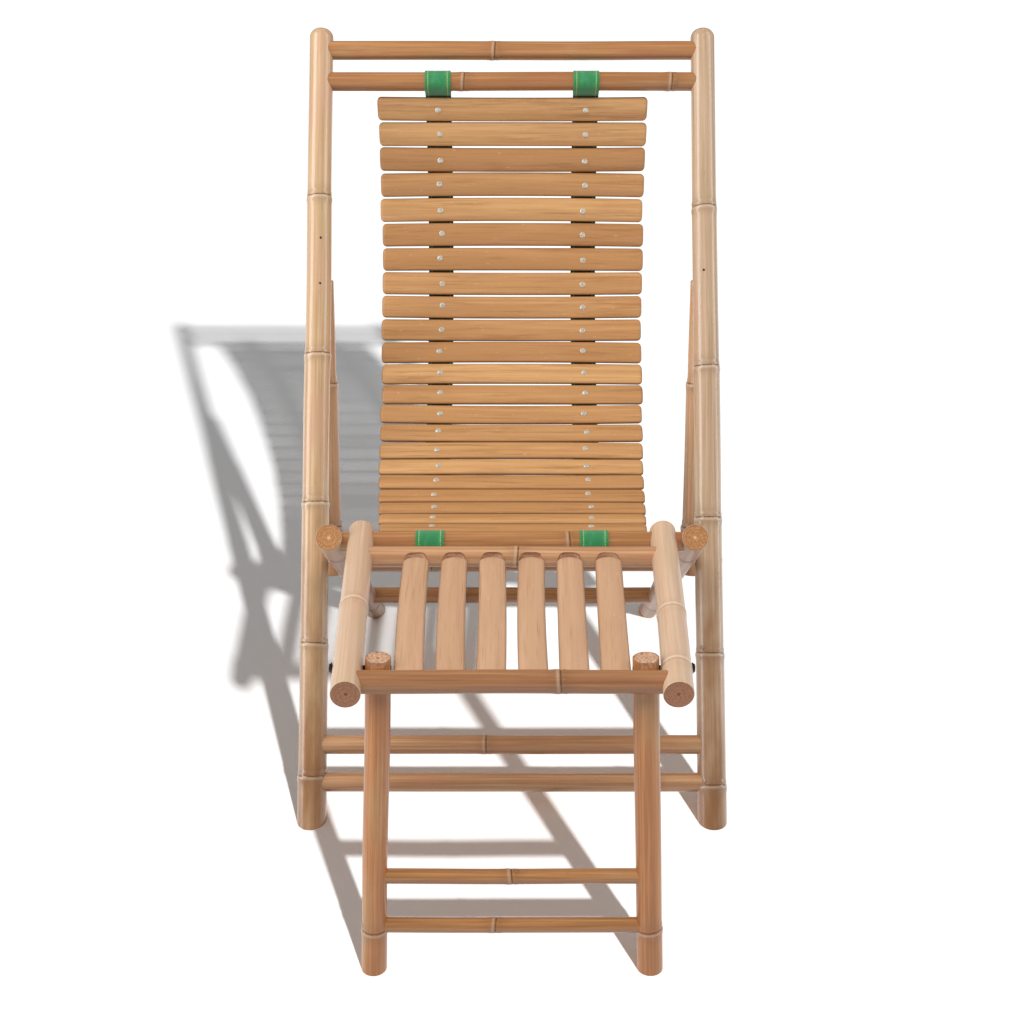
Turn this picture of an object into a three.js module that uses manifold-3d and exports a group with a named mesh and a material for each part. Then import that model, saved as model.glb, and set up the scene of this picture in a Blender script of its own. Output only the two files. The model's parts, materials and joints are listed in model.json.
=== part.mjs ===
// A folding bamboo recliner with a slatted sling and a hook-on footrest.
// Millimetres, +Z up, the sitter faces -Y, +X is to the right as seen from the front.
// A side view is drawn in (y, z), and angles in it are measured from +Y towards +Z.
import * as THREE from "three";
import { mergeVertices } from "three/addons/utils/BufferGeometryUtils.js";
import Module from "manifold-3d";

const wasm = await Module();
wasm.setup();

// Fits: the gap between touching pieces, and how far a cutter runs past what it cuts.
const fit = 0.3;
const overrun = 60;

// Back frame: two leaning poles with two rails at the top and two near the feet.
const backAngle = 59.9;
const backHalfWidth = 260;
const backFootRadius = 19.5;
const backTipRadius = 16.5;
const backTipDome = 14;
const backRailRadius = 12.5;
const topRailUp = 1036;
const backTipOverhang = 30.5;
const slingRailUp = 992;
const upperFootRailUp = 97.5;
const lowerFootRailUp = 49;
const backLeftJointShares = [0.055, 0.216, 0.39, 0.577, 0.779];
const backRightJointShares = [0.043, 0.204, 0.371, 0.561, 0.765];
const topRailJointShares = [0.455];
const slingRailJointShares = [0.372, 0.93];
const upperFootRailJointShares = [0.434];
const lowerFootRailJointShares = [0.87];

// Seat frame: two poles inside the back poles, crossing them at a pin on each side.
const pivotUp = 339;
const seatSlope = 36.1;
const seatSideGap = 2.3;
const seatFrontOverhang = 28;
const seatFrontRadius = 16.4;
const seatFootRadius = 15.4;
const seatFootTrim = 7;
const seatRailRadius = 12.5;
const seatFrontRailReach = 133;
const seatRearRailReach = 322;
const seatJointShares = [0.16, 0.39, 0.63, 0.87];
const seatFrontRailJointShares = [0.665];
const seatRearRailJointShares = [0.34];
const notchCount = 3;
const notchReach = 128;
const notchPitch = 42;
const usedNotchIndex = 1;
const notchDepth = 4;

// Prop frame: two poles hinged behind the back poles, with a rail that sits in the seat's notches.
const propHingeUp = 714;
const propHingeSetback = 40;
const propTopRadius = 15.5;
const propFootRadius = 19;
const propTopReach = 11;
const propFootOverhang = 15;
const propRailRadius = 12.5;
const propJointShares = [0.17, 0.665];
const propRailJointShares = [0.27];

// Hardware: pins through the poles, and the brackets whose tongues the prop's forked tops turn on.
const pivotPinRadius = 4;
const pivotPinInset = 1;
const propPinRadius = 3;
const propPinInset = 1;
const bracketThickness = 2.5;
const bracketWidth = 24;
const bracketTongueRadius = 8;
const bracketTabUp = 44;
const forkGap = 0.5;

// Sling: crosswise slats on two webbing straps that loop over the two sling rails.
const slatCount = 22;
const topSlatPitch = 36.2;
const frontSlatPitch = 31.2;
const slatGap = 4;
const topSlatReach = 38.2;
const frontSlatReach = 40.8;
const slatSideGap = 21.1;
const slatShortening = 34;
const slatThickness = 7;
const slatEdgeThickness = 4.4;
const slatCornerRadius = 8;
const strapWidth = 35;
const strapThickness = 1.8;
const strapInset = 84.5;

// Footrest: two side poles, two rails and lengthwise slats, hooked over the seat's front rail.
const footrestRise = 1.7;
const footrestSideGap = 3.25;
const footrestTaper = 16;
const footrestSideRadius = 16.4;
const footrestFrontOverhang = 24;
const footrestRearReach = 17;
const hookLift = 5;
const footrestRailRadius = 12.5;
const footrestRearRailReach = 49;
const footrestFrontRailReach = 326;
const footrestLeftJointShares = [0.53];
const footrestRightJointShares = [0.57, 0.88];
const footrestRearRailJointShares = [0.52];
const footrestFrontRailJointShares = [0.655];
const footrestSlatCount = 6;
const footrestSlatLegGap = 1.9;
const footrestSlatFanShare = 1.06;
const footrestSlatWidthShare = 0.724;
const footrestSlatThickness = 7;
const footrestSlatEdgeThickness = 4.6;
const footrestSlatCornerShare = 0.35;
const footrestSlatLift = 2;
const slatLetIn = 5;

// Footrest legs: two legs with two rungs, bolted inside the side poles and stopped by the front rail.
const legLean = 6.2;
const legRadius = 14.2;
const legTopReach = 13;
const legFootInset = 15;
const legSideGap = 1.2;
const legBoltRadius = 3;
const legBoltHeadRadius = 6;
const legBoltHeadHeight = 3.5;
const rungRadius = 8.6;
const upperRungUp = 118.5;
const lowerRungUp = 56;
const legJointShares = [0.14];
const upperRungJointShares = [0.5];
const lowerRungJointShares = [0.44];

// How rails seat in poles, and how a bamboo joint swells.
const socketDepth = 9;
const jointSwell = 1.1;
const jointHalfLength = 5;
const poleSides = 14;
const railSides = 10;
const arcSteps = 3;

// Materials.
const bamboo = (color) => new THREE.MeshStandardMaterial({ color, roughness: 0.42, metalness: 0 });
const poleBamboo = bamboo(0xc9a06c);
const footrestBamboo = bamboo(0xcfa883);
const slatBamboo = bamboo(0xc79257);
const webbing = new THREE.MeshStandardMaterial({ color: 0x3ca55f, roughness: 0.85, metalness: 0 });
const steel = new THREE.MeshStandardMaterial({ color: 0x8d8f92, roughness: 0.35, metalness: 1 });

// Maths shared by the frames.
const radians = THREE.MathUtils.degToRad;
const directionOf = (angle) => new THREE.Vector2(Math.cos(angle), Math.sin(angle));
const sideToSpace = new THREE.Matrix4().makeBasis(
  new THREE.Vector3(0, 1, 0),
  new THREE.Vector3(0, 0, 1),
  new THREE.Vector3(1, 0, 0),
);

const recliner = new THREE.Group();

// A group whose local +Z points along the given side-view angle.
function sideFrame(place, angle, parent = recliner) {
  const frame = new THREE.Group();
  frame.position.set(0, place.x, place.y);
  frame.rotation.x = angle - Math.PI / 2;
  parent.add(frame);
  return frame;
}

function addPiece(parent, name, geometry, material, place = [0, 0, 0]) {
  const piece = new THREE.Mesh(geometry, material);
  piece.name = name;
  piece.position.set(...place);
  parent.add(piece);
  return piece;
}

// The mesh as a solid, in the frame that the matrix leads to.
function solidOf(geometry, matrix) {
  const bare = geometry.index ? geometry.toNonIndexed() : geometry.clone();
  bare.deleteAttribute("normal");
  bare.deleteAttribute("uv");
  bare.applyMatrix4(matrix);
  const merged = mergeVertices(bare);
  return new wasm.Manifold(
    new wasm.Mesh({
      numProp: 3,
      vertProperties: merged.attributes.position.array,
      triVerts: new Uint32Array(merged.index.array),
    }),
  );
}

function geometryOf(solid) {
  const made = solid.getMesh();
  const geometry = new THREE.BufferGeometry();
  geometry.setAttribute("position", new THREE.BufferAttribute(new Float32Array(made.vertProperties), 3));
  geometry.setIndex(new THREE.BufferAttribute(new Uint32Array(made.triVerts), 1));
  geometry.computeVertexNormals();
  return geometry;
}

const unmoved = new THREE.Matrix4();
const joined = (a, b) => geometryOf(solidOf(a, unmoved).add(solidOf(b, unmoved)));
const without = (a, b) => geometryOf(solidOf(a, unmoved).subtract(solidOf(b, unmoved)));
const shared = (a, b) => geometryOf(solidOf(a, unmoved).intersect(solidOf(b, unmoved)));

// Cuts each cutter, a mesh in any frame, out of a piece, in the piece's own frame.
function carve(piece, ...cutters) {
  recliner.updateMatrixWorld(true);
  const toPiece = piece.matrixWorld.clone().invert();
  let solid = solidOf(piece.geometry, unmoved);
  for (const cutter of cutters) {
    solid = solid.subtract(solidOf(cutter.geometry, toPiece.clone().multiply(cutter.matrixWorld)));
  }
  piece.geometry = geometryOf(solid);
}

// Makes a cutting mesh, places it in its frame and takes it out again, with its place kept.
function cutterIn(parent, geometry, place = [0, 0, 0], turnY = 0) {
  const cutter = new THREE.Mesh(geometry);
  cutter.position.set(...place);
  cutter.rotation.y = turnY;
  parent.add(cutter);
  recliner.updateMatrixWorld(true);
  const kept = cutter.matrixWorld.clone();
  parent.remove(cutter);
  cutter.matrixWorld.copy(kept);
  return cutter;
}

// A bamboo culm along +Z from its root end, with a swelling at each joint and a flat or domed tip.
function culm(length, rootRadius, tipRadius, jointShares, sides, tipDome = 0) {
  const radiusAt = (z) => THREE.MathUtils.lerp(rootRadius, tipRadius, z / length);
  const points = [new THREE.Vector2(0, 0), new THREE.Vector2(rootRadius, 0)];
  for (const share of jointShares) {
    const z = share * length;
    points.push(new THREE.Vector2(radiusAt(z - jointHalfLength), z - jointHalfLength));
    points.push(new THREE.Vector2(radiusAt(z) + jointSwell, z));
    points.push(new THREE.Vector2(radiusAt(z + jointHalfLength), z + jointHalfLength));
  }
  if (tipDome > 0) {
    for (let step = 0; step < arcSteps; step += 1) {
      const turn = (Math.PI / 2) * (step / arcSteps);
      const z = length - tipDome + tipDome * Math.sin(turn);
      points.push(new THREE.Vector2(tipRadius * Math.cos(turn), z));
    }
  } else {
    points.push(new THREE.Vector2(tipRadius, length));
  }
  points.push(new THREE.Vector2(0, length));
  return new THREE.LatheGeometry(points, sides).rotateX(Math.PI / 2);
}

// A plain rod along +Z, centred on its own middle.
const rod = (radius, length, sides) =>
  new THREE.CylinderGeometry(radius, radius, length, sides).rotateX(Math.PI / 2);

// A cutting rod whose flats clear a round piece of the radius by the fit.
const bore = (radius, length) =>
  rod((radius + fit) / Math.cos(Math.PI / railSides), length, railSides);

// A side-view outline in (y, z), extruded across X and centred.
const acrossSolid = (shape, width) =>
  new THREE.ExtrudeGeometry(shape, { depth: width, bevelEnabled: false, curveSegments: arcSteps * 2 })
    .translate(0, 0, -width / 2)
    .applyMatrix4(sideToSpace);

// A rail along X at a place in a frame, whose ends go into sockets in the poles.
function addRail(frame, name, place, halfSpan, radius, jointShares, material) {
  const geometry = culm(2 * halfSpan, radius, radius, jointShares, railSides);
  const rail = addPiece(frame, name, geometry, material, [-halfSpan, place[0], place[1]]);
  rail.rotation.y = Math.PI / 2;
  const socket = bore(radius, 2 * (halfSpan + fit));
  return { rail, socket: cutterIn(frame, socket, [0, place[0], place[1]], Math.PI / 2) };
}

// Back frame.
const backUp = directionOf(radians(backAngle));
const backFrame = sideFrame(new THREE.Vector2(0, 0), radians(backAngle));
const backLength = topRailUp + backTipOverhang;
const backRadiusAt = (up) => THREE.MathUtils.lerp(backFootRadius, backTipRadius, up / backLength);

function addBackRail(name, up, jointShares) {
  const halfSpan = backHalfWidth - backRadiusAt(up) + socketDepth;
  return addRail(backFrame, name, [0, up], halfSpan, backRailRadius, jointShares, poleBamboo);
}

const floor = cutterIn(
  recliner,
  new THREE.BoxGeometry(4 * backHalfWidth, 4 * backLength, 2 * overrun).translate(0, 0, -overrun),
);

const backRails = [
  addBackRail("back_top_rail", topRailUp, topRailJointShares),
  addBackRail("back_sling_rail", slingRailUp, slingRailJointShares),
  addBackRail("back_foot_rail_upper", upperFootRailUp, upperFootRailJointShares),
  addBackRail("back_foot_rail_lower", lowerFootRailUp, lowerFootRailJointShares),
];

function addBackPole(name, side, jointShares) {
  const geometry = culm(
    backLength + overrun,
    backFootRadius,
    backTipRadius,
    jointShares.map((share) => (share * backLength + overrun) / (backLength + overrun)),
    poleSides,
    backTipDome,
  );
  geometry.translate(0, 0, -overrun);
  const pole = addPiece(backFrame, name, geometry, poleBamboo, [side * backHalfWidth, 0, 0]);
  carve(pole, floor, ...backRails.map((made) => made.socket));
  return pole;
}

const backPoles = [
  addBackPole("back_pole_left", -1, backLeftJointShares),
  addBackPole("back_pole_right", 1, backRightJointShares),
];

// Seat frame: its local +Z points from the pivot to the front ends, its local +Y to its upper side.
// The rear ends are cut square, a little short of where the axis meets the floor, then flat below.
const pivot = backUp.clone().multiplyScalar(pivotUp);
const seatFrontAngle = Math.PI - radians(seatSlope);
const seatFrame = sideFrame(pivot, seatFrontAngle);
const seatRearReach = pivot.y / Math.sin(radians(seatSlope));
const seatLength = seatRearReach + seatFrontRailReach + seatFrontOverhang;
const seatRadiusAt = (z) =>
  THREE.MathUtils.lerp(seatFootRadius, seatFrontRadius, (z + seatRearReach) / seatLength);
const seatHalfWidth = backHalfWidth - backRadiusAt(pivotUp) - seatRadiusAt(0) - seatSideGap;

function addSeatRail(name, z, jointShares) {
  const halfSpan = seatHalfWidth - seatRadiusAt(z) + socketDepth;
  return addRail(seatFrame, name, [0, z], halfSpan, seatRailRadius, jointShares, poleBamboo);
}

const seatRails = [
  addSeatRail("seat_front_rail", seatFrontRailReach, seatFrontRailJointShares),
  addSeatRail("seat_rear_rail", -seatRearRailReach, seatRearRailJointShares),
];

// The prop rail's axis lies above the seat poles' upper side, less the notch's depth.
const notchReaches = [];
for (let index = 0; index < notchCount; index += 1) {
  notchReaches.push(notchReach + index * notchPitch);
}
const usedReach = notchReaches[usedNotchIndex];
const propRailHeight = seatRadiusAt(-usedReach) + propRailRadius + fit - notchDepth;
const notches = notchReaches.map((reach) =>
  cutterIn(
    seatFrame,
    bore(propRailRadius, 2 * backHalfWidth),
    [0, propRailHeight, -reach],
    Math.PI / 2,
  ),
);

function addSeatPole(name, side) {
  const geometry = culm(
    seatLength - seatFootTrim,
    seatFootRadius,
    seatFrontRadius,
    seatJointShares,
    poleSides,
  );
  geometry.translate(0, 0, seatFootTrim - seatRearReach);
  const pole = addPiece(seatFrame, name, geometry, poleBamboo, [side * seatHalfWidth, 0, 0]);
  carve(pole, floor, ...seatRails.map((made) => made.socket), ...notches);
  return pole;
}

const seatPoles = [addSeatPole("seat_pole_left", -1), addSeatPole("seat_pole_right", 1)];

// Pivot pins: from inside each seat pole to the outside of each back pole, both ends sunk.
function addPivotPin(name, side, backPole, seatPole) {
  const inner = seatHalfWidth - seatRadiusAt(0) + pivotPinInset;
  const outer = backHalfWidth + backRadiusAt(pivotUp) - pivotPinInset;
  const middle = (side * (inner + outer)) / 2;
  const pin = addPiece(seatFrame, name, rod(pivotPinRadius, outer - inner, railSides), steel, [
    middle,
    0,
    0,
  ]);
  pin.rotation.y = Math.PI / 2;
  const hole = bore(pivotPinRadius, outer - inner + overrun);
  const drill = cutterIn(seatFrame, hole, [middle, 0, 0], Math.PI / 2);
  carve(backPole, drill);
  carve(seatPole, drill);
}

addPivotPin("pivot_pin_left", -1, backPoles[0], seatPoles[0]);
addPivotPin("pivot_pin_right", 1, backPoles[1], seatPoles[1]);

// Prop frame: its local +Z points from its rail up to its hinge.
const backBehind = directionOf(radians(backAngle) - Math.PI / 2);
const propHinge = backUp
  .clone()
  .multiplyScalar(propHingeUp)
  .addScaledVector(backBehind, propHingeSetback);
const seatBack = directionOf(-radians(seatSlope));
const seatAbove = directionOf(Math.PI / 2 - radians(seatSlope));
const propRailPlace = pivot
  .clone()
  .addScaledVector(seatBack, usedReach)
  .addScaledVector(seatAbove, propRailHeight);
const propUp = propHinge.clone().sub(propRailPlace);
const propReach = propUp.length();
const propFrame = sideFrame(propHinge, propUp.angle());
const propLength = propTopReach + propReach + propFootOverhang;
const propRail = addRail(
  propFrame,
  "prop_rail",
  [0, -propReach],
  backHalfWidth - propFootRadius + socketDepth,
  propRailRadius,
  propRailJointShares,
  poleBamboo,
);

function addPropPole(name, side) {
  const geometry = culm(propLength, propFootRadius, propTopRadius, propJointShares, poleSides);
  geometry.translate(0, 0, -propReach - propFootOverhang);
  const pole = addPiece(propFrame, name, geometry, poleBamboo, [side * backHalfWidth, 0, 0]);
  carve(pole, propRail.socket);
  return pole;
}

const propPoles = [addPropPole("prop_pole_left", -1), addPropPole("prop_pole_right", 1)];

// Hinge bracket: a plate on the back pole's rear side, with a tongue through the prop pole's fork.
const bracketFace = backRadiusAt(propHingeUp - bracketTongueRadius) + fit;

function bracketTongue() {
  const tongue = new THREE.Shape();
  tongue.moveTo(bracketFace, -bracketTongueRadius);
  tongue.lineTo(propHingeSetback, -bracketTongueRadius);
  tongue.absarc(propHingeSetback, 0, bracketTongueRadius, -Math.PI / 2, Math.PI / 2, false);
  tongue.lineTo(bracketFace, bracketTongueRadius);
  tongue.closePath();
  return acrossSolid(tongue, bracketThickness);
}

// The slot of the prop pole's fork: open at the top, and as deep as the tongue's end is round.
function forkSlot(poleX) {
  const depth = bracketTongueRadius + forkGap;
  const width = bracketThickness + 2 * forkGap;
  const slot = new THREE.BoxGeometry(width, 4 * propTopRadius, depth + overrun);
  return cutterIn(propFrame, slot, [poleX, 0, (overrun - depth) / 2]);
}

function addBracket(word, poleX, propPole) {
  const height = bracketTabUp + bracketTongueRadius;
  const plate = new THREE.BoxGeometry(bracketWidth, bracketThickness, height).translate(
    0,
    bracketFace + bracketThickness / 2,
    height / 2 - bracketTongueRadius,
  );
  const body = joined(plate, bracketTongue());
  const bracket = addPiece(backFrame, "prop_bracket_" + word, body, steel, [poleX, 0, propHingeUp]);
  const pinLength = 2 * (propTopRadius - propPinInset);
  const pinPlace = [poleX, propHingeSetback, propHingeUp];
  const pin = rod(propPinRadius, pinLength, railSides);
  addPiece(backFrame, "prop_pin_" + word, pin, steel, pinPlace).rotation.y = Math.PI / 2;
  const hole = bore(propPinRadius, pinLength + overrun);
  const drill = cutterIn(backFrame, hole, pinPlace, Math.PI / 2);
  carve(bracket, drill);
  carve(propPole, forkSlot(poleX), drill);
}

addBracket("left", -backHalfWidth, propPoles[0]);
addBracket("right", backHalfWidth, propPoles[1]);

// A slat along X: flat back at z = 0, crowned face, corners rounded in plan.
function slat(length, width, thickness, edgeThickness, cornerRadius) {
  const crown = new THREE.Shape();
  crown.moveTo(-width / 2, 0);
  crown.lineTo(width / 2, 0);
  crown.lineTo(width / 2, edgeThickness);
  crown.quadraticCurveTo(0, 2 * thickness - edgeThickness, -width / 2, edgeThickness);
  crown.closePath();
  const plan = new THREE.Shape();
  const right = length / 2 - cornerRadius;
  const rear = width / 2 - cornerRadius;
  plan.absarc(right, rear, cornerRadius, 0, Math.PI / 2, false);
  plan.absarc(-right, rear, cornerRadius, Math.PI / 2, Math.PI, false);
  plan.absarc(-right, -rear, cornerRadius, Math.PI, 1.5 * Math.PI, false);
  plan.absarc(right, -rear, cornerRadius, 1.5 * Math.PI, 2 * Math.PI, false);
  plan.closePath();
  const block = new THREE.ExtrudeGeometry(plan, {
    depth: 3 * thickness,
    bevelEnabled: false,
    curveSegments: arcSteps,
  }).translate(0, 0, -thickness);
  const ridge = new THREE.ExtrudeGeometry(crown, {
    depth: length,
    bevelEnabled: false,
    curveSegments: arcSteps,
  })
    .translate(0, 0, -length / 2)
    .applyMatrix4(sideToSpace);
  return shared(block, ridge);
}

// Sling: a circular sag between the two sling rails' axes, as long as its slats need.
const slingTop = backUp.clone().multiplyScalar(slingRailUp);
const slingFront = pivot.clone().addScaledVector(seatBack, -seatFrontRailReach);
const slingChord = slingFront.clone().sub(slingTop);
const slingChordAngle = slingChord.angle();

function sagHalfAngle(length, chord) {
  let low = 0;
  let high = Math.PI;
  for (let step = 0; step < 60; step += 1) {
    const middle = (low + high) / 2;
    if (middle / Math.sin(middle) < length / chord) low = middle;
    else high = middle;
  }
  return low;
}

// The slats' shares of the straps get smaller from the top, and so do the slats.
const slatPitchAt = (index) =>
  THREE.MathUtils.lerp(topSlatPitch, frontSlatPitch, index / (slatCount - 1));
const bendReaches = [topSlatReach - topSlatPitch / 2];
for (let index = 0; index < slatCount; index += 1) {
  bendReaches.push(bendReaches[index] + slatPitchAt(index));
}

const slingLength = bendReaches[slatCount] - frontSlatPitch / 2 + frontSlatReach;
const slingHalfAngle = sagHalfAngle(slingLength, slingChord.length());
const slingRadius = slingLength / (2 * slingHalfAngle);

// The point at a reach along the sag, from the back's sling rail.
function slingPoint(reach) {
  const turned = reach / slingRadius;
  const start = slingChordAngle + slingHalfAngle;
  const chord = 2 * slingRadius * Math.sin(turned / 2);
  return slingTop.clone().addScaledVector(directionOf(start - turned / 2), chord);
}

// The straps bend midway between slats, so that each slat lies flat on its own stretch. The
// slats clear the seat poles by the same gap, and get shorter towards the footrest.
const slatLength = 2 * (seatHalfWidth - seatFrontRadius - slatSideGap);
const bends = bendReaches.map(slingPoint);

const slatNumber = (index) => String(index + 1).padStart(2, "0");

for (let index = 0; index < slatCount; index += 1) {
  const along = bends[index].clone().sub(bends[index + 1]);
  const middle = bends[index].clone().add(bends[index + 1]).divideScalar(2);
  const face = directionOf(along.angle() + Math.PI / 2);
  middle.addScaledVector(face, strapThickness / 2 + fit);
  const length = slatLength - slatShortening * (index / (slatCount - 1)) ** 3;
  const piece = addPiece(
    recliner,
    "sling_slat_" + slatNumber(index),
    slat(length, slatPitchAt(index) - slatGap, slatThickness, slatEdgeThickness, slatCornerRadius),
    slatBamboo,
    [0, middle.x, middle.y],
  );
  piece.rotation.x = along.angle();
}

// The strap's band follows the bends, half its thickness to each side.
function bandShape() {
  const upper = [];
  const lower = [];
  bends.forEach((bend, index) => {
    const before = bends[Math.max(index - 1, 0)];
    const after = bends[Math.min(index + 1, bends.length - 1)];
    const across = directionOf(before.clone().sub(after).angle() + Math.PI / 2);
    upper.push(bend.clone().addScaledVector(across, strapThickness / 2));
    lower.unshift(bend.clone().addScaledVector(across, -strapThickness / 2));
  });
  return new THREE.Shape([...upper, ...lower]);
}

// The strap's loop: a drop round the rail whose point meets the band, with the rail's hole in it.
function strapLoop(centre, railRadius, end) {
  const outer = railRadius + 2 * fit + strapThickness;
  const toEnd = end.clone().sub(centre);
  const tangent = Math.acos(outer / toEnd.length());
  const turn = toEnd.angle();
  const drop = new THREE.Shape();
  drop.absarc(centre.x, centre.y, outer, turn + tangent, turn - tangent + 2 * Math.PI, false);
  drop.lineTo(end.x, end.y);
  drop.closePath();
  const hole = bore(railRadius, 2 * strapWidth)
    .rotateY(Math.PI / 2)
    .translate(0, centre.x, centre.y);
  return without(acrossSolid(drop, strapWidth), hole);
}

const topLoopEnd = bends[0].clone().lerp(bends[1], strapThickness / topSlatPitch);
const frontLoopEnd = bends[slatCount].clone().lerp(bends[slatCount - 1], strapThickness / frontSlatPitch);
const strapGeometry = joined(
  joined(acrossSolid(bandShape(), strapWidth), strapLoop(slingTop, backRailRadius, topLoopEnd)),
  strapLoop(slingFront, seatRailRadius, frontLoopEnd),
);
const strapHalfSpacing = slatLength / 2 - strapInset;
addPiece(recliner, "strap_left", strapGeometry, webbing, [-strapHalfSpacing, 0, 0]);
addPiece(recliner, "strap_right", strapGeometry.clone(), webbing, [strapHalfSpacing, 0, 0]);

// Footrest: its local +Z points forward along the side poles, from above the seat's front rail.
const footrestAngle = Math.PI + radians(footrestRise);
const hook = slingFront.clone().add(new THREE.Vector2(0, hookLift));
const footrest = sideFrame(hook, footrestAngle);
const footrestLength = footrestRearReach + footrestFrontRailReach + footrestFrontOverhang;
const footrestRearHalfWidth =
  seatHalfWidth - seatRadiusAt(seatFrontRailReach) - footrestSideRadius - footrestSideGap;
const footrestHalfWidthAt = (z) =>
  footrestRearHalfWidth - (footrestTaper * (z + footrestRearReach)) / footrestLength;

function addFootrestRail(name, z, jointShares) {
  const halfSpan = footrestHalfWidthAt(z) - footrestSideRadius + socketDepth;
  return addRail(footrest, name, [0, z], halfSpan, footrestRailRadius, jointShares, footrestBamboo);
}

const footrestRearRail = addFootrestRail(
  "footrest_rear_rail",
  footrestRearRailReach,
  footrestRearRailJointShares,
);
const footrestFrontRail = addFootrestRail(
  "footrest_front_rail",
  footrestFrontRailReach,
  footrestFrontRailJointShares,
);

// The hook's notch: round over the seat rail, upright behind it, and sloped in front of it so that
// the rail can leave it down and forward, square to the seat pole, as the seat folds.
function hookNotch() {
  const radius = seatRailRadius + fit;
  const leave = seatFrontAngle + Math.PI / 2;
  const front = directionOf(leave - Math.PI / 2).multiplyScalar(radius);
  const depth = hookLift + overrun;
  const notch = new THREE.Shape();
  notch.absarc(0, 0, radius, 0, leave - Math.PI / 2, false);
  notch.lineTo(front.x - depth / Math.tan(leave), front.y - depth);
  notch.lineTo(radius, front.y - depth);
  notch.closePath();
  return cutterIn(recliner, acrossSolid(notch, 2 * backHalfWidth), [0, slingFront.x, slingFront.y]);
}

const hookCut = hookNotch();

function addFootrestSide(name, side, jointShares) {
  const geometry = culm(
    footrestLength,
    footrestSideRadius,
    footrestSideRadius,
    jointShares,
    poleSides,
  );
  const pole = addPiece(footrest, name, geometry, footrestBamboo, [
    side * footrestRearHalfWidth,
    0,
    -footrestRearReach,
  ]);
  pole.rotation.y = -side * Math.atan(footrestTaper / footrestLength);
  carve(pole, footrestRearRail.socket, footrestFrontRail.socket, hookCut);
  return pole;
}

const footrestSides = [
  addFootrestSide("footrest_side_left", -1, footrestLeftJointShares),
  addFootrestSide("footrest_side_right", 1, footrestRightJointShares),
];

// Footrest slats: let into the top of the rear rail and into the rear side of the front rail. They
// share the width between the legs, and fan out a little to the rear.
const footrestSlatRear = footrestRearRailReach + footrestRailRadius - slatLetIn;
const footrestSlatFront = footrestFrontRailReach - footrestRailRadius + slatLetIn;
const besideLegs = footrestSideRadius + legSideGap + 2 * legRadius + footrestSlatLegGap;
const slatFrontPitch =
  (2 * (footrestHalfWidthAt(footrestSlatFront) - besideLegs)) /
  (footrestSlatCount - 1 + footrestSlatWidthShare);
const slatRearPitch = footrestSlatFanShare * slatFrontPitch;
const footrestSlatWidth = footrestSlatWidthShare * slatFrontPitch;
const footrestSlatCornerRadius = footrestSlatCornerShare * footrestSlatWidth;
const footrestSlatLength = footrestSlatFront - footrestSlatRear;
const footrestSlatMiddle = (footrestSlatFront + footrestSlatRear) / 2;

// A slat turned to run along the footrest, with its crown up.
const turnedAlong = (geometry) => geometry.rotateZ(Math.PI / 2).rotateX(-Math.PI / 2);
const footrestSlatBack = footrestSlatLift - footrestSlatThickness / 2;

for (let index = 0; index < footrestSlatCount; index += 1) {
  const step = index - (footrestSlatCount - 1) / 2;
  const x = (step * (slatRearPitch + slatFrontPitch)) / 2;
  const fan = Math.atan((step * (slatFrontPitch - slatRearPitch)) / footrestSlatLength);
  const geometry = slat(
    footrestSlatLength,
    footrestSlatWidth,
    footrestSlatThickness,
    footrestSlatEdgeThickness,
    footrestSlatCornerRadius,
  );
  const name = "footrest_slat_" + (index + 1);
  const place = [x, footrestSlatBack, footrestSlatMiddle];
  addPiece(footrest, name, turnedAlong(geometry), footrestBamboo, place).rotation.y = fan;
  const pocket = slat(
    footrestSlatLength + 2 * fit,
    footrestSlatWidth + 2 * fit,
    footrestSlatThickness + 2 * fit,
    footrestSlatThickness + fit,
    footrestSlatCornerRadius,
  );
  const pocketPlace = [x, footrestSlatBack - fit, footrestSlatMiddle];
  const cut = cutterIn(footrest, turnedAlong(pocket), pocketPlace, fan);
  const open = new THREE.BoxGeometry(footrestSlatWidth + 2 * fit, overrun, 2 * slatLetIn);
  const openTop = cutterIn(footrest, open, [
    x + (footrestSlatMiddle - footrestSlatRear) * Math.tan(-fan),
    footrestSlatBack + footrestSlatThickness / 2 + overrun / 2,
    footrestSlatRear + slatLetIn - fit,
  ]);
  carve(footrestRearRail.rail, cut, openTop);
  carve(footrestFrontRail.rail, cut);
}

// Footrest legs: the leg's local +Z points from the foot to its bolt.
const footrestForward = directionOf(footrestAngle);
const legUpAngle = Math.PI / 2 - radians(legLean);
const legSetback =
  (footrestRailRadius + legRadius + fit) / Math.abs(Math.sin(legUpAngle - footrestAngle));
const legBoltReach = footrestFrontRailReach - legSetback;
const legBolt = hook.clone().addScaledVector(footrestForward, legBoltReach);
const legs = sideFrame(legBolt, legUpAngle);
const legReach = legBolt.y / Math.sin(legUpAngle);
const legTopHalfWidth =
  footrestHalfWidthAt(legBoltReach) - footrestSideRadius - legSideGap - legRadius;
const legFootHalfWidth = footrestRearHalfWidth - footrestTaper - legFootInset;
const legSplay = Math.atan((legFootHalfWidth - legTopHalfWidth) / legReach);
const legHalfWidthAt = (z) => legTopHalfWidth - z * Math.tan(legSplay);

function addRung(name, up, jointShares) {
  const z = up - legReach;
  const halfSpan = legHalfWidthAt(z) - legRadius + socketDepth;
  return addRail(legs, name, [0, z], halfSpan, rungRadius, jointShares, footrestBamboo);
}

const rungs = [
  addRung("footrest_rung_upper", upperRungUp, upperRungJointShares),
  addRung("footrest_rung_lower", lowerRungUp, lowerRungJointShares),
];

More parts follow.
